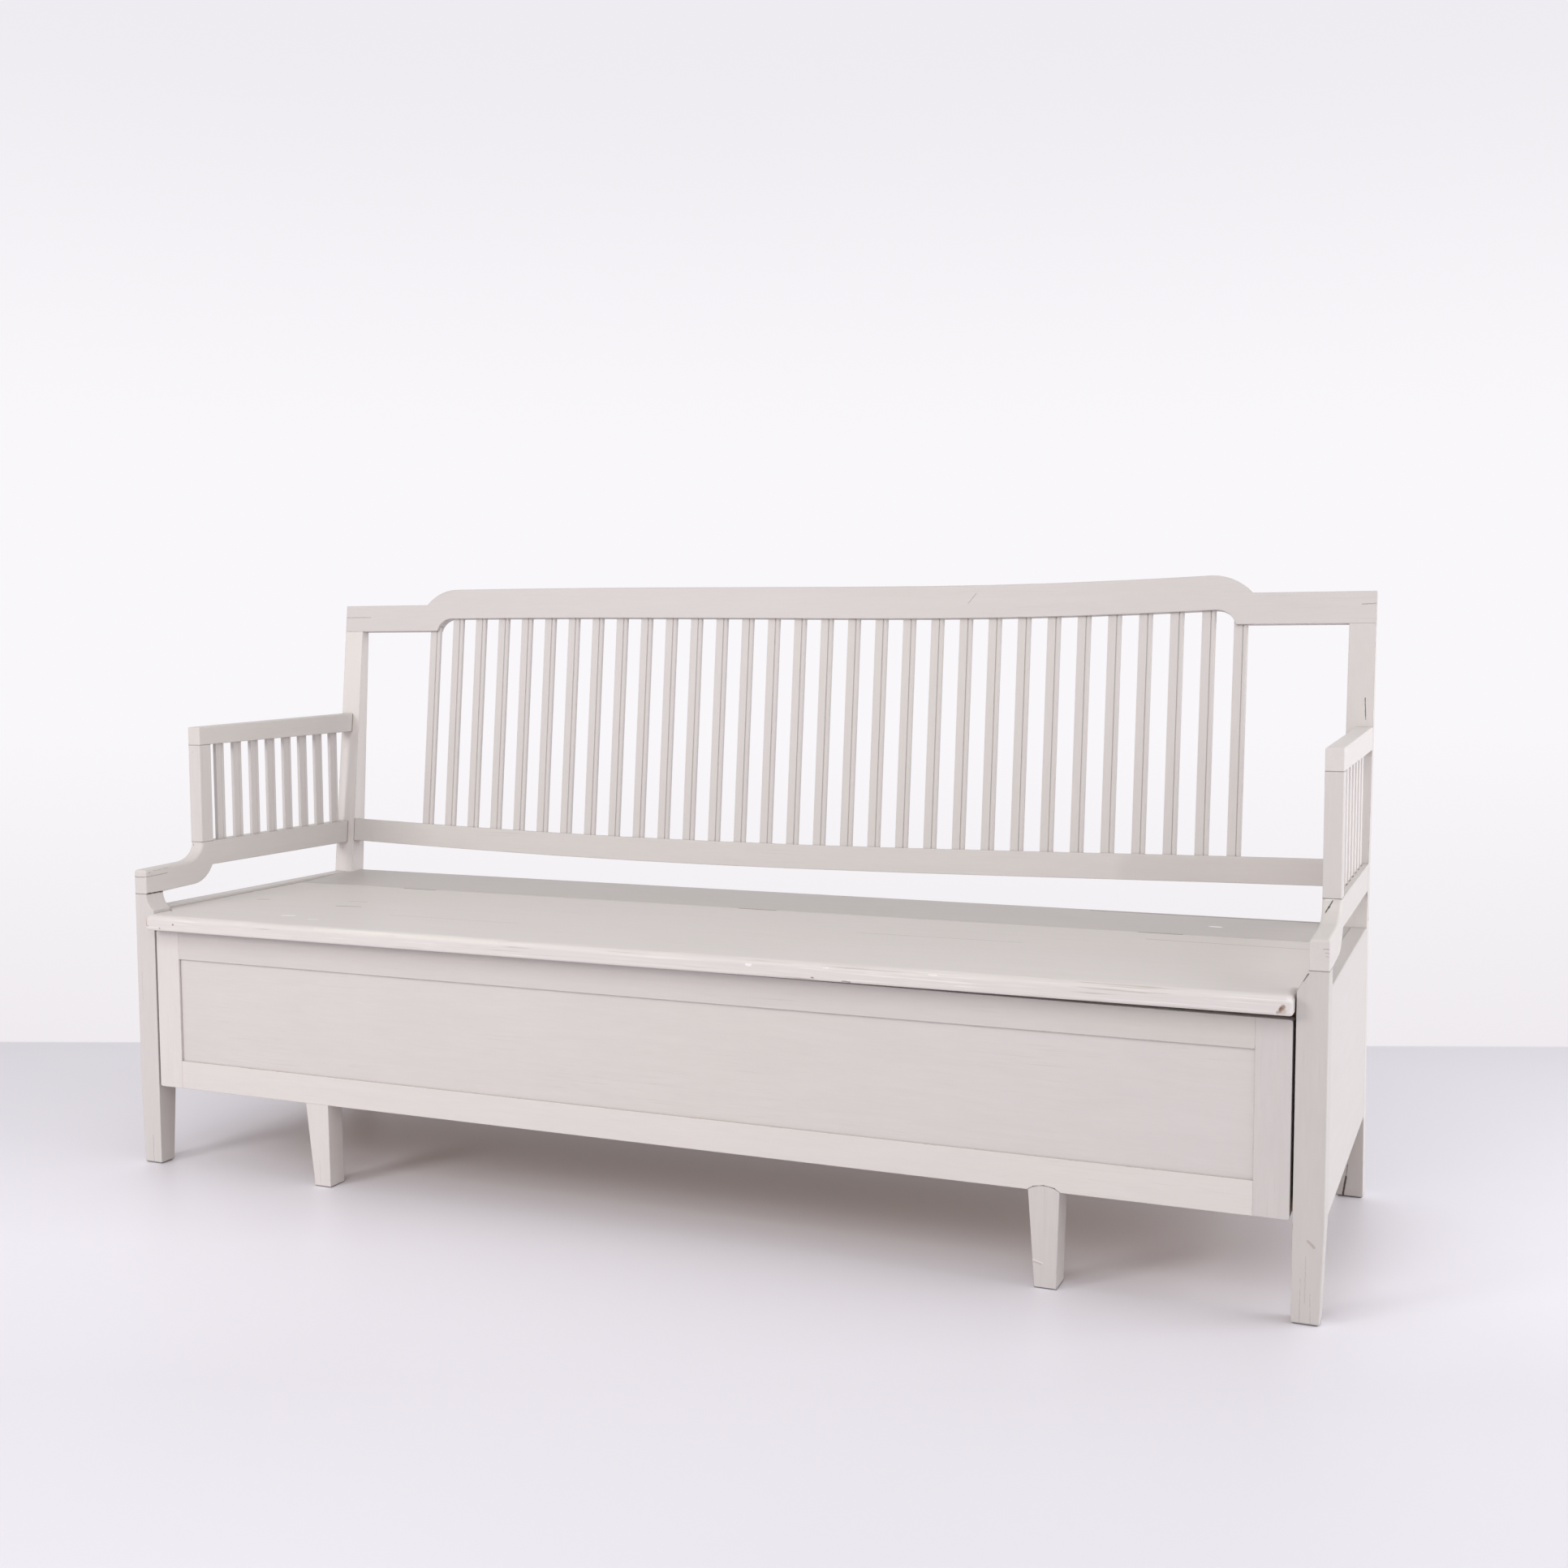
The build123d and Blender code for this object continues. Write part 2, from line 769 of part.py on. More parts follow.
# ---------------------------------------------------------------- fixed box: rails, back panel, bearers
def rear_rail(span):
    """Rail between the rear posts that follows the splay of the legs."""
    with BuildPart() as rail:
        outline = band(leg_face, *span, rear_rail_inset, rear_rail_inset + rear_rail_thickness)
        side_slab(outline, -post_inner, post_inner)
        for end in (-1, 1):
            rear_rail_tenon(*span, side=end)
        side_slab(
            band(
                leg_face,
                lower_rear_rail_span[1] - tongue_length - joint_gap,
                upper_rear_rail_span[0] + tongue_length + joint_gap,
                back_panel_near - joint_gap,
                back_panel_near + back_panel_thickness + joint_gap,
            ),
            -post_inner,
            post_inner,
            mode=Mode.SUBTRACT,
        )
    return rail


back_panel_near = rear_rail_inset + (rear_rail_thickness - back_panel_thickness) / 2
save(rear_rail(lower_rear_rail_span), "lower_rear_rail")
save(rear_rail(upper_rear_rail_span), "upper_rear_rail")

with BuildPart() as back_panel:
    side_slab(
        band(
            leg_face,
            lower_rear_rail_span[1] - tongue_length,
            upper_rear_rail_span[0] + tongue_length,
            back_panel_near,
            back_panel_near + back_panel_thickness,
        ),
        -post_inner + end_gap,
        post_inner - end_gap,
    )
save(back_panel, "back_panel")

front_half = post_inner - front_side_gap
box_side_inner = front_half - box_side_thickness
runner_top = panel_bottom + runner_thickness
box_side_bottom = runner_top + slide_gap
bearer_bottom = box_side_bottom + side_play
bearer_top = bearer_bottom + bearer_thickness
fixed_slat_bottom = bearer_top + slide_gap
ledger_front = leg_face(bearer_bottom) + rear_rail_inset - ledger_depth
box_rear = ledger_front - box_rear_gap

with BuildPart() as rear_ledger:
    side_slab(
        [
            (ledger_front, bearer_bottom),
            (leg_face(bearer_bottom) + rear_rail_inset, bearer_bottom),
            (leg_face(fixed_slat_bottom) + rear_rail_inset, fixed_slat_bottom),
            (ledger_front, fixed_slat_bottom),
        ],
        -post_inner + end_gap,
        post_inner - end_gap,
    )
save(rear_ledger, "rear_slat_ledger")

with BuildPart() as runner:
    side_slab(
        [
            (depth(front_post_depth), panel_bottom),
            (leg_face(panel_bottom), panel_bottom),
            (leg_face(runner_top), runner_top),
            (depth(front_post_depth), runner_top),
        ],
        -panel_inner,
        -box_side_inner,
    )
save_pair(runner, "runner")

guide_rear = ledger_front - side_play
with BuildPart() as side_guide:
    bar(
        (-panel_inner, -front_half - side_play),
        (depth(front_post_depth), guide_rear),
        (runner_top, runner_top + guide_height),
    )
save_pair(side_guide, "side_guide")

seat_bearer_bottom = lid_bottom - seat_bearer_thickness
box_side_top = seat_bearer_bottom - side_play
with BuildPart() as seat_bearer:
    side_slab(
        [
            (depth(front_post_depth), seat_bearer_bottom),
            (leg_face(seat_bearer_bottom), seat_bearer_bottom),
            (leg_face(lid_bottom), lid_bottom),
            (depth(front_post_depth), lid_bottom),
        ],
        -panel_inner,
        -box_side_inner,
    )
save_pair(seat_bearer, "seat_bearer")

# ---------------------------------------------------------------- seat: fixed strip, hinged lid, battens
hinge_y = depth(lid_depth - lid_overhang)
hinge_z = seat_height - hinge_axis_drop
lid_rear = hinge_y - seam_gap
strip_front = hinge_y + seam_gap
lid_side_clear = arm_inner - lid_end_gap
strip_rear = leg_face(seat_height) + rear_leg_thickness - edge_radius
barrel_clear = hinge_barrel_radius + slide_gap * 2
leaf_bottom = hinge_z - hinge_leaf_height


def hinge_places():
    return [(i - (hinge_count - 1) / 2) * hinge_spacing for i in range(hinge_count)]


def hinge_screws(direction, gap=0.0):
    """Three screws through each leaf on one side of the seam, or their holes when a gap is given."""
    height = leaf_bottom + hinge_leaf_height / 3
    for x in hinge_places():
        for offset in (-hinge_length / 3, 0, hinge_length / 3):
            place = (x + offset, hinge_y + direction * slide_gap / 2, height)
            screw(place, (0, direction, 0), hinge_screw_radius, hinge_screw_head, hinge_screw_length, gap)


def hinge_recess(face_y, direction):
    """Pockets in a board's edge for the leaves, barrels and screws of all hinges."""
    reach = hinge_leaf_thickness - seam_gap + joint_gap
    for x in hinge_places():
        span = (x - hinge_length / 2 - end_gap, x + hinge_length / 2 + end_gap)
        bar(span, (face_y, face_y + direction * reach), (leaf_bottom - end_gap, seat_height), Mode.SUBTRACT)
        bar(
            span,
            (face_y, hinge_y + direction * barrel_clear),
            (hinge_z - barrel_clear, seat_height),
            Mode.SUBTRACT,
        )
    hinge_screws(direction, pin_clearance)


with BuildPart() as seat_strip:
    notch_front = leg_face(seat_height) - lid_end_gap
    with BuildSketch(Plane.XY.offset(lid_bottom)):
        with BuildLine():
            Polyline(
                (-panel_inner + end_gap, strip_front),
                (panel_inner - end_gap, strip_front),
                (panel_inner - end_gap, notch_front),
                (post_inner - end_gap, notch_front),
                (post_inner - end_gap, strip_rear),
                (-post_inner + end_gap, strip_rear),
                (-post_inner + end_gap, notch_front),
                (-panel_inner + end_gap, notch_front),
                close=True,
            )
        make_face()
    extrude(amount=lid_thickness + strip_rise)
    side_slab(
        [
            (strip_front, lid_bottom),
            (strip_front, seat_height - hinge_edge_chamfer),
            (strip_front + hinge_edge_chamfer, seat_height),
            (strip_rear, seat_height + strip_rise),
            (strip_rear, lid_bottom),
        ],
        -panel_inner,
        panel_inner,
        mode=Mode.INTERSECT,
    )
    fillet(seat_strip.edges().filter_by(Axis.X).group_by(Axis.Z)[-1], radius=edge_radius)
    hinge_recess(strip_front, 1)
save(seat_strip, "seat_strip")

batten_front = depth(front_thickness) + bearer_width
batten_rear = lid_rear - bearer_width


def batten_places():
    return [(i - (batten_count - 1) / 2) * batten_spacing for i in range(batten_count)]


def batten_screws(gap=0.0):
    """Three screws up through each batten into the lid, or their holes when a gap is given."""
    middle = (batten_front + batten_rear) / 2
    for x in batten_places():
        for y in (batten_front + batten_screw_margin, middle, batten_rear - batten_screw_margin):
            place = (x, y, lid_bottom - batten_thickness)
            screw(place, (0, 0, 1), leg_screw_radius, leg_screw_head, batten_screw_length, gap)


with BuildPart() as seat_lid:
    nose_half = post_inner - lid_end_gap * 2
    notch_rear = depth(front_post_depth) + lid_end_gap
    with BuildSketch(Plane.XY.offset(lid_bottom)):
        with BuildLine():
            Polyline(
                (-nose_half, depth(-lid_overhang)),
                (nose_half, depth(-lid_overhang)),
                (nose_half, notch_rear),
                (lid_side_clear, notch_rear),
                (lid_side_clear, lid_rear),
                (-lid_side_clear, lid_rear),
                (-lid_side_clear, notch_rear),
                (-nose_half, notch_rear),
                close=True,
            )
        make_face()
    extrude(amount=lid_thickness)
    fillet(seat_lid.edges().filter_by(Axis.Z).group_by(Axis.Y)[0], radius=lid_corner_radius)
    lid_long_edges = seat_lid.edges().filter_by(Axis.X).group_by(Axis.Y)
    fillet(lid_long_edges[0].sort_by(Axis.Z)[-1], radius=lid_nose_radius)
    fillet(lid_long_edges[0].sort_by(Axis.Z)[0], radius=lid_under_radius)
    chamfer(lid_long_edges[-1].sort_by(Axis.Z)[-1], length=hinge_edge_chamfer)
    hinge_recess(lid_rear, -1)
    batten_screws(pin_clearance)
save(seat_lid, "seat_lid")

with BuildPart() as lid_battens:
    for x in batten_places():
        bar(
            (x - batten_width / 2, x + batten_width / 2),
            (batten_front, batten_rear),
            (lid_bottom - batten_thickness, lid_bottom),
        )
    chamfer(lid_battens.edges().filter_by(Axis.Y).group_by(Axis.Z)[0], length=batten_thickness / 4)
    batten_screws(pin_clearance)
save(lid_battens, "lid_battens")

with BuildPart() as lid_batten_screws:
    batten_screws()
save(lid_batten_screws, "lid_batten_screws")

# ---------------------------------------------------------------- hinges
knuckle_length = hinge_length / hinge_knuckles


def hinge_leaves(direction, first):
    """All leaves on one side of the seam: a plate and every second knuckle, bored for the pin."""
    with BuildPart() as leaves:
        for x in hinge_places():
            bar(
                (x - hinge_length / 2, x + hinge_length / 2),
                (hinge_y + direction * slide_gap / 2, hinge_y + direction * hinge_leaf_thickness),
                (leaf_bottom, hinge_z - hinge_barrel_radius / 2),
            )
            for k in range(hinge_knuckles):
                start = x - hinge_length / 2 + k * knuckle_length
                if k % 2 == first:
                    reach = knuckle_length - slide_gap
                    rod(start + slide_gap / 2, hinge_y, hinge_z, hinge_barrel_radius, reach, (1, 0, 0))
                else:
                    bar(
                        (start - slide_gap / 2, start + knuckle_length + slide_gap / 2),
                        (hinge_y, hinge_y + direction * (hinge_leaf_thickness + slide_gap)),
                        (hinge_z - hinge_barrel_radius - slide_gap, hinge_z),
                        Mode.SUBTRACT,
                    )
            bore = hinge_pin_radius + pin_clearance
            rod(x - hinge_length, hinge_y, hinge_z, bore, hinge_length * 2, (1, 0, 0), Mode.SUBTRACT)
        hinge_screws(direction, pin_clearance)
    return leaves


save(hinge_leaves(1, 0), "strip_hinge_leaves")
save(hinge_leaves(-1, 1), "lid_hinge_leaves")

with BuildPart() as hinge_pins:
    for x in hinge_places():
        rod(x - hinge_length / 2, hinge_y, hinge_z, hinge_pin_radius, hinge_length, (1, 0, 0))
save(hinge_pins, "hinge_pins")


with BuildPart() as strip_hinge_screws:
    hinge_screws(1)
save(strip_hinge_screws, "strip_hinge_screws")

with BuildPart() as lid_hinge_screws:
    hinge_screws(-1)
save(lid_hinge_screws, "lid_hinge_screws")

# ---------------------------------------------------------------- bed slats: fixed and moving ones interleave
slat_pitch = 2 * box_side_inner / (2 * bed_slat_pairs + 1)


def bed_slats(first, y_from, y_to, z_from):
    """Every second slat of the bed bottom, counted from the left end of the box."""
    for i in range(bed_slat_pairs + 1 - first):
        x = -box_side_inner + slat_pitch * (first + 0.5 + 2 * i)
        span = (x - bed_slat_width / 2, x + bed_slat_width / 2)
        bar(span, (y_from, y_to), (z_from, z_from + bed_slat_thickness))


with BuildPart() as fixed_bed_slats:
    fixed_slat_rear = leg_face(fixed_slat_bottom + bed_slat_thickness) + rear_rail_inset - end_gap
    bed_slats(1, depth(front_thickness) + bearer_width / 2, fixed_slat_rear, fixed_slat_bottom)
save(fixed_bed_slats, "fixed_bed_slats")

with BuildPart() as box_bed_slats:
    bed_slats(0, depth(front_thickness) + end_gap, box_rear, bearer_top)
save(box_bed_slats, "box_bed_slats")

# ---------------------------------------------------------------- pull-out front: frame, field and legs
front_low = panel_bottom
front_high = lid_bottom - front_top_gap
front_rear = depth(front_thickness)
field_front = depth(field_recess)
field_groove_span = (field_front - joint_gap, field_front + field_thickness + joint_gap)
field_half = front_half - front_stile_width
field_low = front_low + front_rail_height
field_high = front_high - front_rail_height


def front_top(reach):
    """Height of the front's top edge, which drops from the middle to the right end."""
    return front_high - front_top_droop * max(reach, 0.0) / front_half


def field_grooves():
    """Groove for the field panel along the inner edges of the front frame."""
    reach = field_groove + end_gap
    bar(
        (-field_half - reach, field_half + reach),
        field_groove_span,
        (field_low - reach, field_high + reach),
        Mode.SUBTRACT,
    )


def rail_tenons(z_low, z_high, gap=0.0):
    """Stub tenons of a front rail into both stiles, or their mortises when a gap is given."""
    margin = (z_high - z_low) / 5
    middle = field_front + field_thickness / 2
    for end in (-1, 1):
        bar(
            (end * (field_half - gap), end * (field_half + tenon_length + gap * 2)),
            (middle - tenon_thickness / 2 - gap, middle + tenon_thickness / 2 + gap),
            (z_low + margin - gap, z_high - margin + gap),
            Mode.SUBTRACT if gap else Mode.ADD,
        )


def box_side_end(gap=0.0):
    """Tongue on the front end of the left box side, or its groove in the stile when a gap is given."""
    middle = -front_half + box_side_thickness / 2
    bar(
        (middle - tongue_thickness / 2 - gap, middle + tongue_thickness / 2 + gap),
        (front_rear - box_side_tongue - gap, front_rear),
        (box_side_bottom + tongue_margin - gap, box_side_top - tongue_margin + gap),
        Mode.SUBTRACT if gap else Mode.ADD,
    )


def front_stile(side):
    """Upright of the pull-out front at its left end, or what its right end mirrors when side is 1."""
    with BuildPart() as stile:
        with BuildSketch(Plane.XZ.offset(-depth(0))) as outline:
            with BuildLine():
                Polyline(
                    (-front_half, front_low),
                    (-field_half, front_low),
                    (-field_half, front_top(side * field_half)),
                    (-front_half, front_top(side * front_half)),
                    close=True,
                )
            make_face()
        extrude(outline.sketch, amount=-front_thickness)
        fillet(stile.edges().filter_by(Axis.Y).group_by(Axis.X)[0], radius=front_corner_radius)
        rail_tenons(front_low, field_low, joint_gap)
        rail_tenons(field_high, front_high, joint_gap)
        field_grooves()
        box_side_end(joint_gap)
    return stile


save(front_stile(-1), "left_front_stile")
save(mirrored(front_stile(1)), "right_front_stile")


def leg_head(gap=0.0):
    """Arched head of the right box leg, or its seat in the underside of the front when a gap is given."""
    with BuildSketch(Plane.XZ.offset(-depth(0))) as head:
        with BuildLine():
            low_left = (box_leg_half_spacing - box_leg_width / 2 - gap, front_low)
            low_right = (box_leg_half_spacing + box_leg_width / 2 + gap, front_low)
            ThreePointArc(low_left, (box_leg_half_spacing, front_low + box_leg_arch + gap), low_right)
            Line(low_right, low_left)
        make_face()
    extrude(head.sketch, amount=-front_thickness, mode=Mode.SUBTRACT if gap else Mode.ADD)


tongue_rear = front_rear + box_leg_tongue_thickness


def leg_screws(centre, gap=0.0):
    """Two screws from the back of a leg's tongue into the front, or their holes when a gap is given."""
    height = (front_low + box_leg_arch + bearer_bottom) / 2
    for side in (-1, 1):
        place = (centre + side * box_leg_width / 4, tongue_rear, height)
        screw(place, (0, -1, 0), leg_screw_radius, leg_screw_head, leg_screw_length, gap)


with BuildPart() as front_bottom_rail:
    bar((-field_half, field_half), (depth(0), front_rear), (front_low, field_low))
    rail_tenons(front_low, field_low)
    field_grooves()
    leg_head(joint_gap)
    for side in (-1, 1):
        leg_screws(side * box_leg_half_spacing, pin_clearance)
save(front_bottom_rail, "front_bottom_rail")

with BuildPart() as front_top_rail:
    with BuildSketch(Plane.XZ.offset(-depth(0))) as top_rail_outline:
        with BuildLine():
            Polyline(
                (-field_half, field_high),
                (field_half, field_high),
                (field_half, front_top(field_half)),
                (0, front_top(0)),
                (-field_half, front_high),
                close=True,
            )
        make_face()
    extrude(top_rail_outline.sketch, amount=-front_thickness)
    rail_tenons(field_high, front_high)
    field_grooves()
save(front_top_rail, "front_top_rail")

with BuildPart() as front_field:
    bar(
        (-field_half - field_groove, field_half + field_groove),
        (field_front, field_front + field_thickness),
        (field_low - field_groove, field_high + field_groove),
    )
save(front_field, "front_field_panel")


def box_leg(centre, foot_shift, leg_depth, arched):
    """Tapered leg under the pull-out front, its foot set off to one side, with a tongue up its back."""
    top_half = box_leg_width / 2
    foot_half = box_leg_foot_width / 2
    with BuildPart() as leg:
        with BuildSketch(Plane.XZ.offset(-depth(0))) as outline:
            with BuildLine():
                Polyline(
                    (centre - top_half, front_low),
                    (centre + top_half, front_low),
                    (centre + foot_shift + foot_half, box_leg_glide),
                    (centre + foot_shift - foot_half, box_leg_glide),
                    close=True,
                )
            make_face()
        extrude(outline.sketch, amount=-leg_depth)
        bar((centre - top_half, centre + top_half), (front_rear, tongue_rear), (front_low, bearer_bottom))
        if arched:
            leg_head()
        leg_screws(centre, pin_clearance)
    return leg


save(box_leg(-box_leg_half_spacing, left_leg_foot_shift, left_leg_depth, False), "left_box_leg")
save(box_leg(box_leg_half_spacing, right_leg_foot_shift, right_leg_depth, True), "right_box_leg")

with BuildPart() as box_leg_screws:
    for side in (-1, 1):
        leg_screws(side * box_leg_half_spacing)
save(box_leg_screws, "box_leg_screws")

# ---------------------------------------------------------------- pull-out box behind the front
with BuildPart() as box_side:
    bar((-front_half, -box_side_inner), (front_rear, box_rear), (box_side_bottom, box_side_top))
    box_side_end()
save_pair(box_side, "box_side")

with BuildPart() as box_front_ledger:
    ledger_span = (-box_side_inner + end_gap, box_side_inner - end_gap)
    bar(ledger_span, (front_rear, front_rear + bearer_width), (bearer_bottom, bearer_top))
save(box_front_ledger, "box_front_ledger")

with BuildPart() as box_crossbar:
    bar(ledger_span, (box_rear - bearer_width, box_rear), (bearer_bottom, bearer_top))
save(box_crossbar, "box_rear_crossbar")

with BuildPart() as stop_cleat:
    stop_cleat_bottom = box_side_top - stop_cleat_drop
    bar(
        (-front_half - stop_cleat_thickness, -front_half),
        (box_rear - bearer_width, box_rear),
        (stop_cleat_bottom, stop_cleat_bottom + stop_cleat_height),
    )
    chamfer(stop_cleat.edges().filter_by(Axis.Z).group_by(Axis.X)[0], length=edge_radius)
save_pair(stop_cleat, "stop_cleat")
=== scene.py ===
"""Looks of the pull-out bench bed: worn warm-grey paint over pine, studio floor, soft light."""
import math

import bpy
from mathutils import Matrix, Vector


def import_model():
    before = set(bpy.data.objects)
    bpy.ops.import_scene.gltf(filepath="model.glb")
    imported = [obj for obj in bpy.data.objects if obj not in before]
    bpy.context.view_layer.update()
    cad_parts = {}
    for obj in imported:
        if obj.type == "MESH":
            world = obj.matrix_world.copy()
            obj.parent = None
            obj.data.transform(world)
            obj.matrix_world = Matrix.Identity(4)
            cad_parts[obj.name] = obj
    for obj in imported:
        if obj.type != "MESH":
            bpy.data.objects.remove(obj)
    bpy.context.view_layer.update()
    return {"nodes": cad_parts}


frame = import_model()
nodes = frame["nodes"]

# ---------------------------------------------------------------- small node-tree helpers


class Tree:
    """Short names for building a shader out of nodes."""

    def __init__(self, material):
        self.tree = material.node_tree
        self.tree.nodes.clear()

    def add(self, kind, **values):
        node = self.tree.nodes.new(kind)
        for key, value in values.items():
            setattr(node, key, value)
        return node

    def put(self, socket, value):
        if isinstance(value, bpy.types.NodeSocket):
            self.tree.links.new(value, socket)
        elif value is not None:
            socket.default_value = value

    def math(self, operation, a, b=None, c=None, clamp=False):
        node = self.add("ShaderNodeMath", operation=operation, use_clamp=clamp)
        for socket, value in zip(node.inputs, (a, b, c)):
            self.put(socket, value)
        return node.outputs[0]

    def vector(self, operation, a, b=None):
        node = self.add("ShaderNodeVectorMath", operation=operation)
        self.put(node.inputs[0], a)
        self.put(node.inputs[1], b)
        return node.outputs["Value" if operation in ("LENGTH", "DOT_PRODUCT") else "Vector"]

    def mapping(self, source, scale=(1, 1, 1), move=(0, 0, 0)):
        node = self.add("ShaderNodeMapping")
        self.put(node.inputs["Vector"], source)
        node.inputs["Location"].default_value = move
        node.inputs["Scale"].default_value = scale
        return node.outputs[0]

    def noise(self, source, scale, detail=2.0, roughness=0.5, distortion=0.0):
        node = self.add("ShaderNodeTexNoise")
        self.put(node.inputs["Vector"], source)
        node.inputs["Scale"].default_value = scale
        node.inputs["Detail"].default_value = detail
        node.inputs["Roughness"].default_value = roughness
        node.inputs["Distortion"].default_value = distortion
        return node.outputs[0]

    def ramp(self, value, low, high, out_low=0.0, out_high=1.0, smooth=True):
        node = self.add("ShaderNodeMapRange")
        node.interpolation_type = "SMOOTHSTEP" if smooth else "LINEAR"
        self.put(node.inputs["Value"], value)
        node.inputs["From Min"].default_value = low
        node.inputs["From Max"].default_value = high
        node.inputs["To Min"].default_value = out_low
        node.inputs["To Max"].default_value = out_high
        return node.outputs[0]

    def scaled(self, source, factor):
        node = self.add("ShaderNodeVectorMath", operation="SCALE")
        self.put(node.inputs[0], source)
        self.put(node.inputs["Scale"], factor)
        return node.outputs["Vector"]

    def mix(self, factor, a, b, blend="MIX"):
        node = self.add("ShaderNodeMix", data_type="RGBA", blend_type=blend)
        self.put(node.inputs["Factor"], factor)
        self.put(node.inputs[6], a)
        self.put(node.inputs[7], b)
        return node.outputs[2]

    def rounded(self, radius, samples, rubbed=1.0):
        """Normal with softened edges, and a mask that rises to the given value on those edges."""
        bevel = self.add("ShaderNodeBevel", samples=samples)
        bevel.inputs["Radius"].default_value = radius
        flat = self.add("ShaderNodeNewGeometry").outputs["True Normal"]
        turned = self.vector("DOT_PRODUCT", bevel.outputs[0], flat)
        return bevel.outputs[0], self.ramp(turned, 0.86, 0.985, rubbed, 0.0)

    def bumped(self, height, normal, strength, distance):
        """Normal with fine relief on top of another normal."""
        bump = self.add("ShaderNodeBump")
        bump.inputs["Strength"].default_value = strength
        bump.inputs["Distance"].default_value = distance
        self.put(bump.inputs["Height"], height)
        self.put(bump.inputs["Normal"], normal)
        return bump.outputs[0]

    def surface(self, colour, rough, normal):
        """Shader of a solid surface, linked to the material's output."""
        shader = self.add("ShaderNodeBsdfPrincipled")
        self.put(shader.inputs["Base Color"], colour)
        self.put(shader.inputs["Roughness"], rough)
        self.put(shader.inputs["Normal"], normal)
        self.put(self.add("ShaderNodeOutputMaterial").inputs["Surface"], shader.outputs[0])
        return shader


def new_material(name):
    """Empty material with its tree."""
    material = bpy.data.materials.new(name)
    material.use_nodes = True
    return material, Tree(material)


def linear(value):
    """Linear light for one sRGB channel given in 0 to 255."""
    share = value / 255
    return share / 12.92 if share <= 0.04045 else ((share + 0.055) / 1.055) ** 2.4


def srgb(r, g, b):
    """Linear colour with alpha for a colour given in 0 to 255."""
    return (linear(r), linear(g), linear(b), 1.0)


# ---------------------------------------------------------------- painted wood
PAINT = srgb(207, 201, 198)
PAINT_WARM = srgb(205, 200, 192)
STREAK_COLOUR = srgb(172, 161, 152)
RUBBED_COLOUR = srgb(158, 136, 114)
NOSE_LIGHT, NOSE_DARK = srgb(238, 236, 230), srgb(160, 148, 136)
# strength of the dark streaks in the grain, fainter on thin slats, which have a smaller rounding
STREAK, THIN_STREAK, THIN_ROUND = 0.26, 0.08, 0.001
# how far the figure, the fine grain and the mottling move the tone, how much the painted highlight lifts the
# edges and how much the painted shade in nooks takes off
FIGURE_TONE, GRAIN_TONE, MOTTLE_TONE, EDGE_HIGHLIGHT, NOOK_SHADE_TONE = 0.075, 0.07, 0.06, 0.05, 0.22
# share of a mark's half width that has its full strength, and the span in which cracks stray sideways
MARK_CORE, MARK_WANDER = 0.35, 0.0022
# how far the painted shade in the nooks reaches
NOOK_REACH = 0.006
# places, back to front, between which the wear of the lid's nose grows, and how fine its scratches are
NOSE_WEAR = (-0.3215, -0.3265)
NOSE_SCRATCHES = (5.0, 260.0, 260.0)
# how much finer the figure is across the grain than along it
SPREAD = {"X": (1.0, 11.0, 11.0), "Y": (11.0, 1.0, 11.0), "Z": (11.0, 11.0, 1.0)}
MARK_COLOURS = {
    "dark": srgb(52, 42, 38),
    "grey": srgb(128, 116, 110),
    "brown": srgb(132, 98, 72),
    "light": srgb(240, 238, 238),
    "rust": srgb(176, 112, 72),
    "lime": srgb(226, 224, 208),
}
CUTTING_MARKS = ("dark", "grey", "brown")


def segment(t, place, a, b, width):
    """Mask of a thin streak from a to b: one on its middle line, nothing beyond its width."""
    a, b = Vector(a), Vector(b)
    from_a = t.vector("SUBTRACT", place, tuple(a))
    along = b - a
    if along.length > 1e-6:
        reach = t.vector("DOT_PRODUCT", from_a, tuple(along))
        share = t.math("MULTIPLY", reach, 1 / along.length_squared, clamp=True)
        from_a = t.vector("SUBTRACT", from_a, t.scaled(tuple(along), share))
    return t.ramp(t.vector("LENGTH", from_a), width * MARK_CORE, width, 1.0, 0.0)


def seam(t, place, point, normal, width):
    """Mask of a thin line where a plane cuts a piece."""
    normal = Vector(normal).normalized()
    offset = t.math("SUBTRACT", t.vector("DOT_PRODUCT", place, tuple(normal)), Vector(point).dot(normal))
    return t.ramp(t.math("ABSOLUTE", offset), width * MARK_CORE, width, 1.0, 0.0)


def nose_wear(t, place, shifted, colour, depth):
    """Light and dark scratches along the lid's nose, laid over a colour, and how deep they cut."""
    worn = t.noise(t.mapping(shifted, scale=NOSE_SCRATCHES), 1.0, 3.0, 0.6)
    split = t.add("ShaderNodeSeparateXYZ")
    t.put(split.inputs[0], place)
    nose = t.ramp(split.outputs["Y"], *NOSE_WEAR, smooth=False)
    nose = t.math("MULTIPLY", nose, t.ramp(t.noise(shifted, 6.0, 2.0), 0.38, 0.56, 0.25, 1.0))
    light = t.math("MULTIPLY", nose, t.ramp(worn, 0.55, 0.68, 0.0, 0.50))
    colour = t.mix(light, colour, NOSE_LIGHT)
    dark = t.math("MULTIPLY", nose, t.ramp(worn, 0.40, 0.31, 0.0, 0.50))
    colour = t.mix(dark, colour, NOSE_DARK)
    return colour, t.math("MAXIMUM", depth, t.math("MULTIPLY", dark, 0.5))


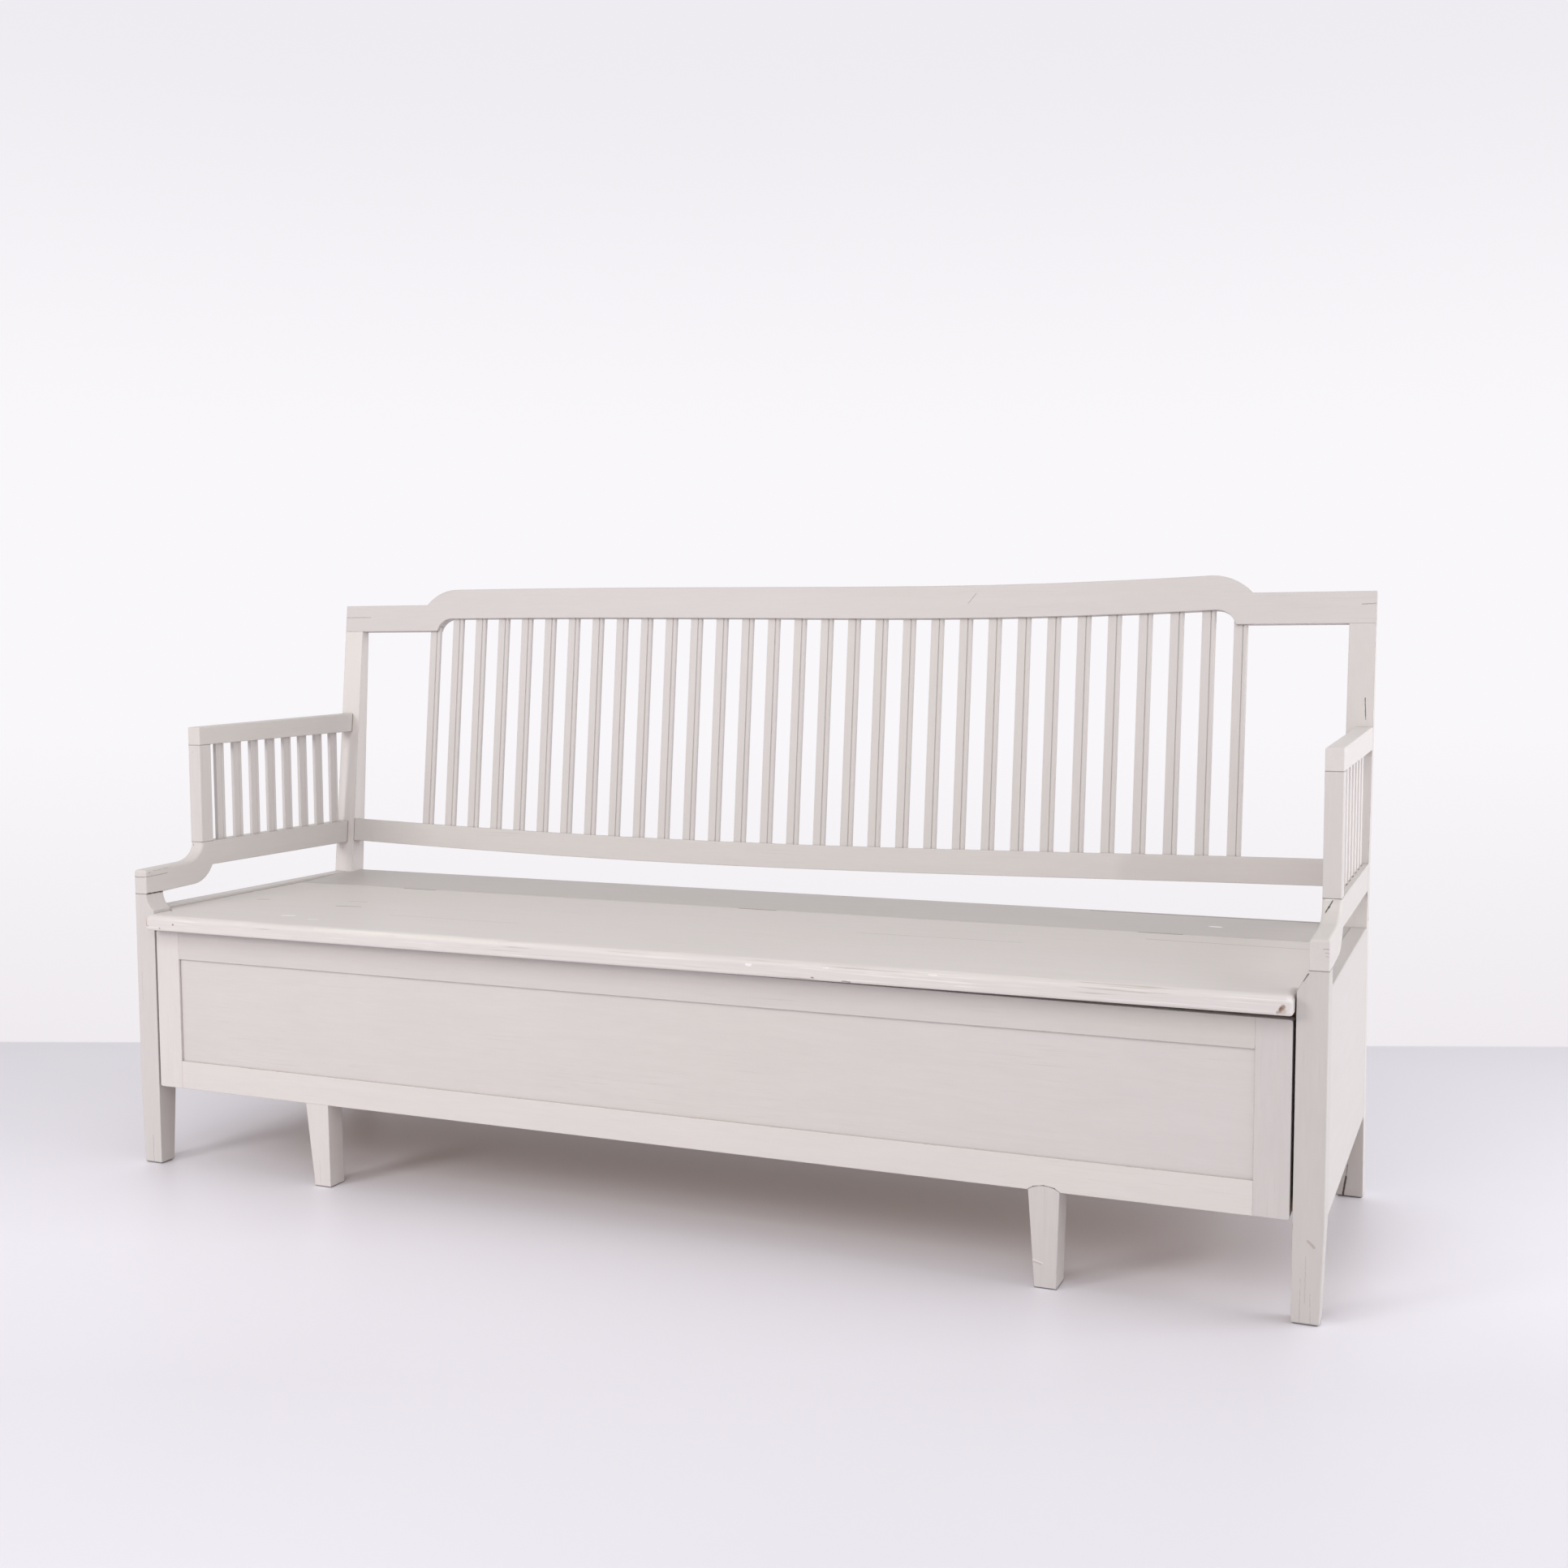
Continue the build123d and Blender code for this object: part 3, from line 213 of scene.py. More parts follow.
def cracked(t, place, shifted, marks, seams, colour, depth):
    """Cracks, chips, open joints and painted shadows, laid over a colour, and how deep they cut."""
    jitter = t.add("ShaderNodeTexNoise")
    t.put(jitter.inputs["Vector"], shifted)
    jitter.inputs["Scale"].default_value = 140.0
    jitter.inputs["Detail"].default_value = 2.0
    wander = t.vector("SUBTRACT", jitter.outputs["Color"], (0.5, 0.5, 0.5))
    bent = t.vector("ADD", place, t.scaled(wander, MARK_WANDER))
    listed = [(kind, strength, segment(t, bent, a, b, width)) for kind, strength, width, a, b in marks]
    listed += [
        (kind, strength, seam(t, place, at, normal, width))
        for kind, strength, width, at, normal in seams
    ]
    for kind, strength, mask in listed:
        mask = t.math("MULTIPLY", mask, strength)
        colour = t.mix(mask, colour, MARK_COLOURS[kind])
        if kind in CUTTING_MARKS:
            depth = t.math("MAXIMUM", depth, mask)
    return colour, depth


def painted(name, axis, seed, marks, seams, tone, warm, round_over, nosing):
    """Old satin paint on planed pine: grain along one axis, soft mottling, rubbed edges, cracks and chips,
    with a painted highlight on the edges and painted shade in the nooks.
    """
    material, t = new_material(name)
    place = t.add("ShaderNodeTexCoord").outputs["Object"]
    shifted = t.mapping(place, move=(seed * 1.37, seed * -0.83, seed * 0.61))
    grained = t.mapping(shifted, scale=SPREAD[axis])
    figure = t.noise(grained, 4.5, 4.0, 0.6, 0.8)
    fine = t.noise(grained, 26.0, 4.0, 0.65)
    hair = t.noise(t.mapping(grained, scale=SPREAD[axis]), 7.0, 2.0, 0.6)
    mottle = t.noise(shifted, 5.0, 3.0, 0.6)
    broad = t.noise(shifted, 1.1, 2.0, 0.5)

    normal, edge = t.rounded(round_over, samples=6)
    # painted shade: the colour darkens where the ambient occlusion finds surfaces close by, in nooks,
    # recesses and between parts
    nook = t.add("ShaderNodeAmbientOcclusion", samples=8)
    nook.inputs["Distance"].default_value = NOOK_REACH
    nook_shade = t.ramp(nook.outputs["AO"], 0.2, 0.75, 1.0, 0.0)

    # painted light and shade: tone, the brightness from PAINTED, is partly set to match the light and shade
    # on this piece
    shade = t.math("MULTIPLY_ADD", figure, FIGURE_TONE, tone - FIGURE_TONE / 2)
    shade = t.math("MULTIPLY_ADD", fine, GRAIN_TONE, t.math("SUBTRACT", shade, GRAIN_TONE / 2))
    shade = t.math("MULTIPLY_ADD", mottle, MOTTLE_TONE, t.math("SUBTRACT", shade, MOTTLE_TONE / 2))
    # painted highlight: the rounded edges are made lighter
    shade = t.math("MULTIPLY_ADD", edge, EDGE_HIGHLIGHT, shade)
    shade = t.math("MULTIPLY_ADD", nook_shade, -NOOK_SHADE_TONE, shade)
    colour = t.mix(t.math("MULTIPLY", t.ramp(broad, 0.42, 0.66), warm), PAINT, PAINT_WARM)
    streak = t.math("MULTIPLY", t.ramp(hair, 0.60, 0.70), t.ramp(mottle, 0.50, 0.60))
    streak = t.math("MULTIPLY", streak, t.math("SUBTRACT", 1.0, edge, clamp=True))
    streak = t.math("MULTIPLY", streak, STREAK if round_over > THIN_ROUND else THIN_STREAK)
    colour = t.mix(streak, colour, STREAK_COLOUR)
    colour = t.mix(1.0, colour, shade, "MULTIPLY")
    rubbed = t.math("MULTIPLY", edge, t.ramp(t.noise(shifted, 42.0, 3.0, 0.6), 0.585, 0.65))
    rubbed = t.math("MULTIPLY", rubbed, 0.5)
    colour = t.mix(rubbed, colour, RUBBED_COLOUR)

    depth = t.math("MULTIPLY", rubbed, 0.4)
    if nosing:
        colour, depth = nose_wear(t, place, shifted, colour, depth)
    colour, depth = cracked(t, place, shifted, marks, seams, colour, depth)

    height = t.math("MULTIPLY_ADD", figure, 0.35, t.math("MULTIPLY", fine, 0.30))
    height = t.math("MULTIPLY_ADD", hair, 0.22, height)
    height = t.math("MULTIPLY_ADD", depth, -1.2, height)
    rough = t.math("MULTIPLY_ADD", fine, 0.16, 0.33)
    rough = t.math("MULTIPLY_ADD", mottle, 0.14, rough)
    rough = t.math("MULTIPLY_ADD", depth, 0.3, rough, clamp=True)
    shader = t.surface(colour, rough, t.bumped(height, normal, strength=0.45, distance=0.0005))
    shader.inputs["Specular IOR Level"].default_value = 0.42
    return material


# ---------------------------------------------------------------- bare pine and steel
PINE_PALE, PINE_RING = srgb(182, 146, 100), srgb(140, 98, 58)
PINE_GRAIN, PINE_EDGE = srgb(120, 88, 58), srgb(112, 86, 62)
PINE_ROUND = 0.0015
STEEL_DULL, STEEL_PALE = srgb(120, 116, 112), srgb(158, 154, 148)
STEEL_RUST, STEEL_EDGE = srgb(104, 66, 42), srgb(186, 182, 176)
STEEL_ROUND = 0.0004


def pine(name, axis, seed):
    """Bare old pine of the inner pieces: rings and grain along one axis, darkened and dry."""
    material, t = new_material(name)
    place = t.add("ShaderNodeTexCoord").outputs["Object"]
    shifted = t.mapping(place, move=(seed * 0.71, seed * 1.13, seed * -0.57))
    grained = t.mapping(shifted, scale=SPREAD[axis])
    rings = t.noise(grained, 3.2, 3.0, 0.55, 1.4)
    bands = t.math("SINE", t.math("MULTIPLY", rings, 70.0))
    fine = t.noise(grained, 30.0, 4.0, 0.65)
    normal, edge = t.rounded(PINE_ROUND, samples=4)
    colour = t.mix(t.ramp(bands, -0.6, 1.0, 0.0, 0.55), PINE_PALE, PINE_RING)
    colour = t.mix(t.ramp(fine, 0.35, 0.75, 0.0, 0.35), colour, PINE_GRAIN)
    colour = t.mix(t.math("MULTIPLY", edge, 0.3), colour, PINE_EDGE)
    height = t.math("MULTIPLY_ADD", bands, 0.3, fine)
    rough = t.math("MULTIPLY_ADD", fine, 0.2, 0.58)
    shader = t.surface(colour, rough, t.bumped(height, normal, strength=0.4, distance=0.0004))
    shader.inputs["Specular IOR Level"].default_value = 0.25
    return material


def steel(name, seed):
    """Dull old steel with a brown bloom of rust and brighter rubbed edges."""
    material, t = new_material(name)
    place = t.add("ShaderNodeTexCoord").outputs["Object"]
    shifted = t.mapping(place, move=(seed * 0.37, seed * 0.91, seed * 0.23))
    drawn = t.noise(t.mapping(shifted, scale=(1.0, 14.0, 14.0)), 60.0, 3.0, 0.6)
    bloom = t.noise(shifted, 160.0, 4.0, 0.65)
    rust = t.ramp(bloom, 0.50, 0.68, 0.0, 0.75)
    normal, edge = t.rounded(STEEL_ROUND, samples=4, rubbed=0.7)
    colour = t.mix(drawn, STEEL_DULL, STEEL_PALE)
    colour = t.mix(rust, colour, STEEL_RUST)
    colour = t.mix(edge, colour, STEEL_EDGE)
    height = t.math("ADD", drawn, rust)
    rough = t.math("MULTIPLY_ADD", bloom, 0.3, 0.28)
    shader = t.surface(colour, rough, t.bumped(height, normal, strength=0.35, distance=0.0002))
    t.put(shader.inputs["Metallic"], t.math("SUBTRACT", 0.95, rust))
    return material


# ---------------------------------------------------------------- cracks, chips, open joints and painted shadows, in metres
FRONT = -0.3082
LID_FRONT = -0.3332
SEAT_TOP = 0.445
RAKE = math.radians(6.3)
BACK_NORMAL = (0.0, math.cos(RAKE), -math.sin(RAKE))
BEND = (0.0, 0.25082, 0.450)
LEG_NORMAL = (0.0, 1.0, 33.0 / 450.0)
UP = (0.0, 0.0, 1.0)
ALONG = (1.0, 0.0, 0.0)

# node: colour, strength, half width, from, to
MARKS = {
    "right_rear_post": [
        ("dark", 0.8, 0.0011, (0.9868, 0.2911, 0.8151), (0.9885, 0.2873, 0.7810)),
        ("brown", 0.8, 0.0042, (1.0, 0.2787, 0.4610), (1.0, 0.2787, 0.4600)),
        ("dark", 0.9, 0.0024, (0.9692, 0.2840, 0.0), (0.9739, 0.2813, 0.0341)),
        ("dark", 0.6, 0.0010, (0.9739, 0.2813, 0.0341), (0.9762, 0.2798, 0.0551)),
    ],
    "right_arm_lower_rail": [
        ("dark", 0.85, 0.0016, (0.9881, -0.1654, 0.5500), (0.9832, -0.1682, 0.5407)),
        ("dark", 0.80, 0.0015, (0.9832, -0.1682, 0.5407), (0.9783, -0.1747, 0.5312)),
        ("grey", 0.5, 0.0010, (0.9922, FRONT, 0.5053), (0.9992, FRONT, 0.5058)),
        ("grey", 0.4, 0.0009, (0.9940, FRONT, 0.5003), (0.9990, FRONT, 0.5000)),
        ("grey", 0.35, 0.0009, (0.9950, FRONT, 0.4959), (0.9985, FRONT, 0.4955)),
        ("light", 0.5, 0.0016, (0.9790, -0.1655, 0.5505), (0.9890, -0.1655, 0.5510)),
    ],
    "right_front_post": [
        ("dark", 0.75, 0.0013, (0.9735, FRONT, 0.4719), (0.9635, FRONT, 0.4572)),
        ("grey", 0.5, 0.0014, (0.9635, FRONT, 0.4572), (0.9590, FRONT, 0.4500)),
        ("brown", 0.35, 0.0024, (0.9792, FRONT, 0.1147), (0.9876, FRONT, 0.1071)),
        ("grey", 0.35, 0.0007, (0.9700, FRONT, 0.0), (0.9705, FRONT, 0.0620)),
        ("grey", 0.30, 0.0007, (0.9840, FRONT, 0.0), (0.9832, FRONT, 0.0440)),
        ("grey", 0.25, 0.0007, (0.9765, FRONT, 0.0300), (0.9770, FRONT, 0.0950)),
    ],
    "left_front_post": [
        ("dark", 0.95, 0.0026, (-0.9740, -0.3060, 0.4768), (-0.9740, -0.2690, 0.4768)),
        ("grey", 0.25, 0.0008, (-0.9900, FRONT, 0.3400), (-0.9895, FRONT, 0.2900)),
        ("grey", 0.4, 0.0009, (-0.9760, FRONT, 0.0), (-0.9765, FRONT, 0.0500)),
    ],
    "left_arm_lower_rail": [
        ("dark", 0.7, 0.0010, (-0.9949, -0.1652, 0.5481), (-0.9890, -0.1672, 0.5383)),
        ("dark", 0.95, 0.0022, (-0.9740, -0.3060, 0.4762), (-0.9740, -0.2690, 0.4762)),
        ("grey", 0.75, 0.0010, (-0.9990, FRONT, 0.5055), (-0.9740, FRONT, 0.5060)),
        ("grey", 0.65, 0.0010, (-0.9740, FRONT, 0.5060), (-0.9740, -0.2560, 0.5075)),
        ("grey", 0.4, 0.0008, (-0.9740, -0.2900, 0.5150), (-0.9740, -0.2450, 0.5170)),
        ("brown", 0.6, 0.0014, (-0.9740, -0.3000, 0.5130), (-0.9740, -0.2990, 0.5130)),
    ],
    "left_arm_stile": [
        ("dark", 0.8, 0.0011, (-0.9820, -0.1652, 0.7335), (-0.9820, -0.1652, 0.7335)),
        ("dark", 0.6, 0.0009, (-0.9900, -0.1652, 0.7150), (-0.9900, -0.1652, 0.7150)),
    ],
    "seat_lid": [
        ("dark", 0.9, 0.0022, (-0.9400, -0.2857, SEAT_TOP), (-0.9405, -0.2850, SEAT_TOP)),
        ("grey", 0.7, 0.0022, (-0.8973, -0.1111, SEAT_TOP), (-0.8778, -0.1037, SEAT_TOP)),
        ("dark", 0.7, 0.0022, (-0.7120, -0.1257, SEAT_TOP), (-0.6654, -0.1182, SEAT_TOP)),
        ("grey", 0.4, 0.0022, (-0.7250, -0.0700, SEAT_TOP), (-0.6900, -0.0660, SEAT_TOP)),
        ("light", 0.9, 0.0060, (-0.7260, -0.2520, SEAT_TOP), (-0.7103, -0.2460, SEAT_TOP)),
        ("light", 0.7, 0.0040, (-0.6600, -0.2700, SEAT_TOP), (-0.6450, -0.2660, SEAT_TOP)),
        ("brown", 0.75, 0.0040, (0.9420, LID_FRONT, 0.4270), (0.9455, LID_FRONT, 0.4310)),
        ("brown", 0.55, 0.0030, (0.9380, LID_FRONT, 0.4225), (0.9410, LID_FRONT, 0.4240)),
        ("brown", 0.35, 0.0060, (0.9440, LID_FRONT, 0.4250), (0.9450, LID_FRONT, 0.4250)),
        ("dark", 0.55, 0.0016, (0.9415, LID_FRONT, 0.4275), (0.9430, LID_FRONT, 0.4292)),
        ("light", 0.25, 0.0050, (0.9510, -0.3300, 0.4390), (0.9515, -0.3240, 0.4410)),
        ("rust", 0.85, 0.0050, (-0.9560, -0.3300, 0.4370), (-0.9555, -0.3320, 0.4300)),
        ("dark", 0.35, 0.0018, (-0.9530, LID_FRONT, 0.4265), (-0.9500, LID_FRONT, 0.4255)),
        ("brown", 0.8, 0.0022, (-0.8960, LID_FRONT, 0.4310), (-0.8950, LID_FRONT, 0.4310)),
        ("brown", 0.6, 0.0020, (-0.9250, LID_FRONT, 0.4230), (-0.9240, LID_FRONT, 0.4230)),
        ("light", 0.7, 0.0030, (0.1792, LID_FRONT, 0.4349), (0.1850, LID_FRONT, 0.4349)),
        ("dark", 0.6, 0.0018, (0.2825, LID_FRONT, 0.4230), (0.2850, LID_FRONT, 0.4225)),
        ("lime", 0.35, 0.0036, (-0.6000, -0.3300, 0.4400), (-0.2500, -0.3300, 0.4400)),
        ("light", 0.45, 0.0018, (0.3000, -0.3320, 0.4380), (0.3080, -0.3320, 0.4380)),
        ("light", 0.35, 0.0018, (0.4600, -0.3320, 0.4390), (0.4720, -0.3320, 0.4390)),
        ("dark", 0.6, 0.0016, (0.3300, LID_FRONT, 0.4205), (0.3420, LID_FRONT, 0.4200)),
        ("grey", 0.55, 0.0018, (0.6900, 0.0480, SEAT_TOP), (0.9350, 0.0420, SEAT_TOP)),
        ("grey", 0.35, 0.0018, (0.2500, -0.0600, SEAT_TOP), (0.5200, -0.0550, SEAT_TOP)),
        ("grey", 0.25, 0.0018, (-0.5600, -0.1800, SEAT_TOP), (-0.3100, -0.1780, SEAT_TOP)),
    ],
    "seat_strip": [
        ("light", 1.0, 0.0062, (0.7660, 0.1925, 0.4486), (0.7790, 0.1920, 0.4486)),
        ("dark", 0.6, 0.0016, (0.7266, 0.1600, 0.4480), (0.8861, 0.1550, 0.4480)),
        ("grey", 0.5, 0.0012, (0.4500, 0.1640, 0.4480), (0.7266, 0.1600, 0.4480)),
        ("grey", 0.6, 0.0040, (0.5500, 0.2760, 0.4500), (0.9500, 0.2760, 0.4500)),
    ],
    "lower_back_rail": [
        # painted shadow of the right arm over the rail's right end
        ("grey", 0.12, 0.0450, (0.6300, 0.2590, 0.5240), (0.9700, 0.2590, 0.5260)),
    ],
    "crest_rail": [
        ("grey", 0.7, 0.0010, (0.9780, 0.3079, 0.9650), (1.0, 0.3078, 0.9664)),
        ("grey", 0.6, 0.0010, (-1.0, 0.3074, 0.9632), (-0.9410, 0.3074, 0.9625)),
        ("grey", 0.5, 0.0010, (0.3196, 0.3087, 0.9746), (0.3337, 0.3107, 0.9921)),
        ("grey", 0.4, 0.0008, (0.9500, 0.3050, 0.9480), (1.0, 0.3050, 0.9500)),
    ],
    "front_bottom_rail": [
        ("dark", 0.50, 0.0013, (0.5992, FRONT, 0.1400), (0.6065, FRONT, 0.1450)),
        ("dark", 0.60, 0.0013, (0.6065, FRONT, 0.1450), (0.6220, FRONT, 0.1474)),
        ("dark", 0.60, 0.0013, (0.6220, FRONT, 0.1474), (0.6375, FRONT, 0.1450)),
        ("dark", 0.50, 0.0013, (0.6375, FRONT, 0.1450), (0.6448, FRONT, 0.1400)),
    ],
    "right_box_leg": [
        ("light", 0.35, 0.0022, (0.6085, FRONT, 0.0394), (0.6200, FRONT, 0.0366)),
        ("brown", 0.35, 0.0018, (0.6090, FRONT, 0.0375), (0.6190, FRONT, 0.0350)),
    ],
    "left_box_leg": [
        ("grey", 0.2, 0.0008, (-0.6180, FRONT, 0.0010), (-0.6190, FRONT, 0.0450)),
    ],
}

# how the names of the crossed pieces end, colour, strength, half width, point, normal of the plane
SEAMS = (
    # painted contact shadow: a dark band at the foot of posts and legs, where they stand on the floor
    (("front_post", "rear_post", "box_leg"), "dark", 0.7, 0.0022, (0.0, 0.0, 0.0), UP),
    ("front_post", "grey", 0.9, 0.0014, (0.0, 0.0, 0.4765), UP),
    ("arm_stile", "dark", 0.65, 0.0012, (0.0, 0.0, 0.552), UP),
    ("arm_stile", "dark", 0.6, 0.0012, (0.0, 0.0, 0.728), UP),
    # painted shadow of the lid's overhang: a soft grey band down from the top of the front rail and stiles
    (("front_stile", "front_top_rail"), "grey", 0.15, 0.040, (0.0, 0.0, 0.415), UP),
    (("arm_lower_rail", "arm_top_rail"), "grey", 0.85, 0.0024, BEND, BACK_NORMAL),
    ("lower_back_rail", "dark", 0.6, 0.0016, (-0.959, 0.0, 0.0), ALONG),
    ("lower_back_rail", "grey", 0.7, 0.0014, (0.959, 0.0, 0.0), ALONG),
    ("end_panel", "dark", 0.65, 0.0018, BEND, LEG_NORMAL),
)

# node: grain axis, brightness, warmth, rounding of the edges; the brightness is partly painted light and
# shade, set piece by piece to stand in for how much light falls on each piece
PAINTED = {
    "left_front_post": ("Z", 0.965, 0.35, 0.0022), "right_front_post": ("Z", 0.9, 0.3, 0.0022),
    "left_rear_post": ("Z", 1.15, 0.3, 0.0022), "right_rear_post": ("Z", 1.02, 0.35, 0.0022),
    "left_end_panel": ("Y", 1.0, 0.3, 0.0018), "right_end_panel": ("Y", 0.94, 0.2, 0.0018),
    "left_arm_lower_rail": ("Y", 0.99, 0.35, 0.0022), "right_arm_lower_rail": ("Y", 1.0, 0.25, 0.0022),
    "left_arm_top_rail": ("Y", 1.01, 0.35, 0.0025), "right_arm_top_rail": ("Y", 1.07, 0.25, 0.0025),
    "left_arm_stile": ("Z", 1.0, 0.35, 0.0022), "right_arm_stile": ("Z", 1.0, 0.25, 0.0022),
    "left_arm_slats": ("Z", 0.99, 0.3, 0.0007), "right_arm_slats": ("Z", 1.1, 0.25, 0.0007),
    "crest_rail": ("X", 0.985, 0.3, 0.0025), "lower_back_rail": ("X", 1.01, 0.3, 0.0022),
    "back_slats": ("Z", 1.0, 0.3, 0.0007), "seat_strip": ("X", 0.86, 0.5, 0.0022),
    "seat_lid": ("X", 1.065, 0.5, 0.0030), "front_top_rail": ("X", 0.955, 0.6, 0.0018),
    "front_bottom_rail": ("X", 1.075, 0.4, 0.0018), "front_field_panel": ("X", 0.995, 0.35, 0.0018),
    "left_front_stile": ("Z", 1.07, 0.45, 0.0018), "right_front_stile": ("Z", 0.935, 0.6, 0.0018),
    "left_box_leg": ("Z", 1.06, 0.5, 0.0020), "right_box_leg": ("Z", 0.94, 0.45, 0.0020),
    "upper_rear_rail": ("X", 0.98, 0.4, 0.0018), "lower_rear_rail": ("X", 0.98, 0.4, 0.0018),
    "back_panel": ("X", 0.98, 0.4, 0.0015),
}
PINE = {
    "left_runner": "Y", "right_runner": "Y", "left_side_guide": "Y", "right_side_guide": "Y",
    "left_seat_bearer": "Y", "right_seat_bearer": "Y", "left_box_side": "Y", "right_box_side": "Y",
    "left_stop_cleat": "Z", "right_stop_cleat": "Z", "lid_battens": "Y", "rear_slat_ledger": "X",
    "fixed_bed_slats": "Y", "box_bed_slats": "Y", "box_front_ledger": "X", "box_rear_crossbar": "X",
}


def seams_of(name):
    """Open joints of a piece, the painted contact shadow at its foot and the painted shadow under the lid's
    overhang.
    """
    return [line for ends, *line in SEAMS if name.endswith(ends)]


for seed, (name, obj) in enumerate(sorted(nodes.items())):
    obj.data.materials.clear()
    if name in PAINTED:
        axis, tone, warm, round_over = PAINTED[name]
        marks, worn_nose = MARKS.get(name, ()), name == "seat_lid"
        made = painted(f"paint_{name}", axis, seed, marks, seams_of(name), tone, warm, round_over, worn_nose)
    elif name in PINE:
        made = pine(f"pine_{name}", PINE[name], seed)
    else:
        made = steel(f"steel_{name}", seed)
    obj.data.materials.append(made)

# ---------------------------------------------------------------- camera at the photographer's place
YAW, PITCH, ROLL = 0.40143, 0.07806, -0.0040
EYE = Vector((1.2325, -2.6702, 0.9015))
SENSOR_WIDTH = 36.0
FOCAL_PIXELS, IMAGE_PIXELS = 2170.5, 1932
camera_data = bpy.data.cameras.new("camera")
camera_data.sensor_width = SENSOR_WIDTH
camera_data.lens = SENSOR_WIDTH * FOCAL_PIXELS / IMAGE_PIXELS
camera = bpy.data.objects.new("camera", camera_data)
bpy.context.scene.collection.objects.link(camera)
camera.matrix_world = (
    Matrix.Translation(EYE)
    @ Matrix.Rotation(YAW, 4, "Z")
    @ Matrix.Rotation(math.pi / 2 - PITCH, 4, "X")
    @ Matrix.Rotation(ROLL, 4, "Z")
)
bpy.context.scene.camera = camera

# ---------------------------------------------------------------- floor, backdrop and light
# the foot of the pale wall, as a line on the floor
WALL_NORMAL = (-0.36160, 0.93233, 0.0)
WALL_OFFSET = 0.9955
# distance beyond that line at which its tone has gone about two thirds of the way to the paler one
WALL_FADE = 3.93
WALL_FOOT, WALL_PALE, WALL_TOP = srgb(239, 235, 239), srgb(249, 247, 250), srgb(239, 236, 241)
FLOOR_TONES = srgb(236, 233, 240), srgb(239, 236, 243)
FLOOR_SIZE = 60.0
SKY_COLOUR = srgb(250, 249, 250)
SKY_LIGHT = 0.72
WARM_WHITE = (1.0, 0.99, 0.98)
COOL_WHITE = (0.96, 0.98, 1.0)
# name, place, what it points at, width and height, watts, colour
SOFTBOXES = (
    ("low_left", (-2.0, -3.6, 1.9), (-0.3, 0.0, 0.3), (1.2, 1.1), 49, WARM_WHITE),
    ("front_high", (0.6, -3.4, 3.0), (0.2, 0.0, 0.2), (2.6, 1.4), 37, WARM_WHITE),
    ("side", (4.0, 0.4, 1.25), (0.9, 0.1, 0.4), (2.4, 2.2), 70, COOL_WHITE),
)


def wall_colour(t, height):
    """Tone of the pale wall by the height of the sight line: greyer low down and at the very top."""
    low = t.ramp(height, -0.225, -0.05, smooth=False)
    high = t.ramp(height, 0.10, 0.33)
    tone = t.mix(low, WALL_FOOT, WALL_PALE)
    return t.mix(high, tone, WALL_TOP)


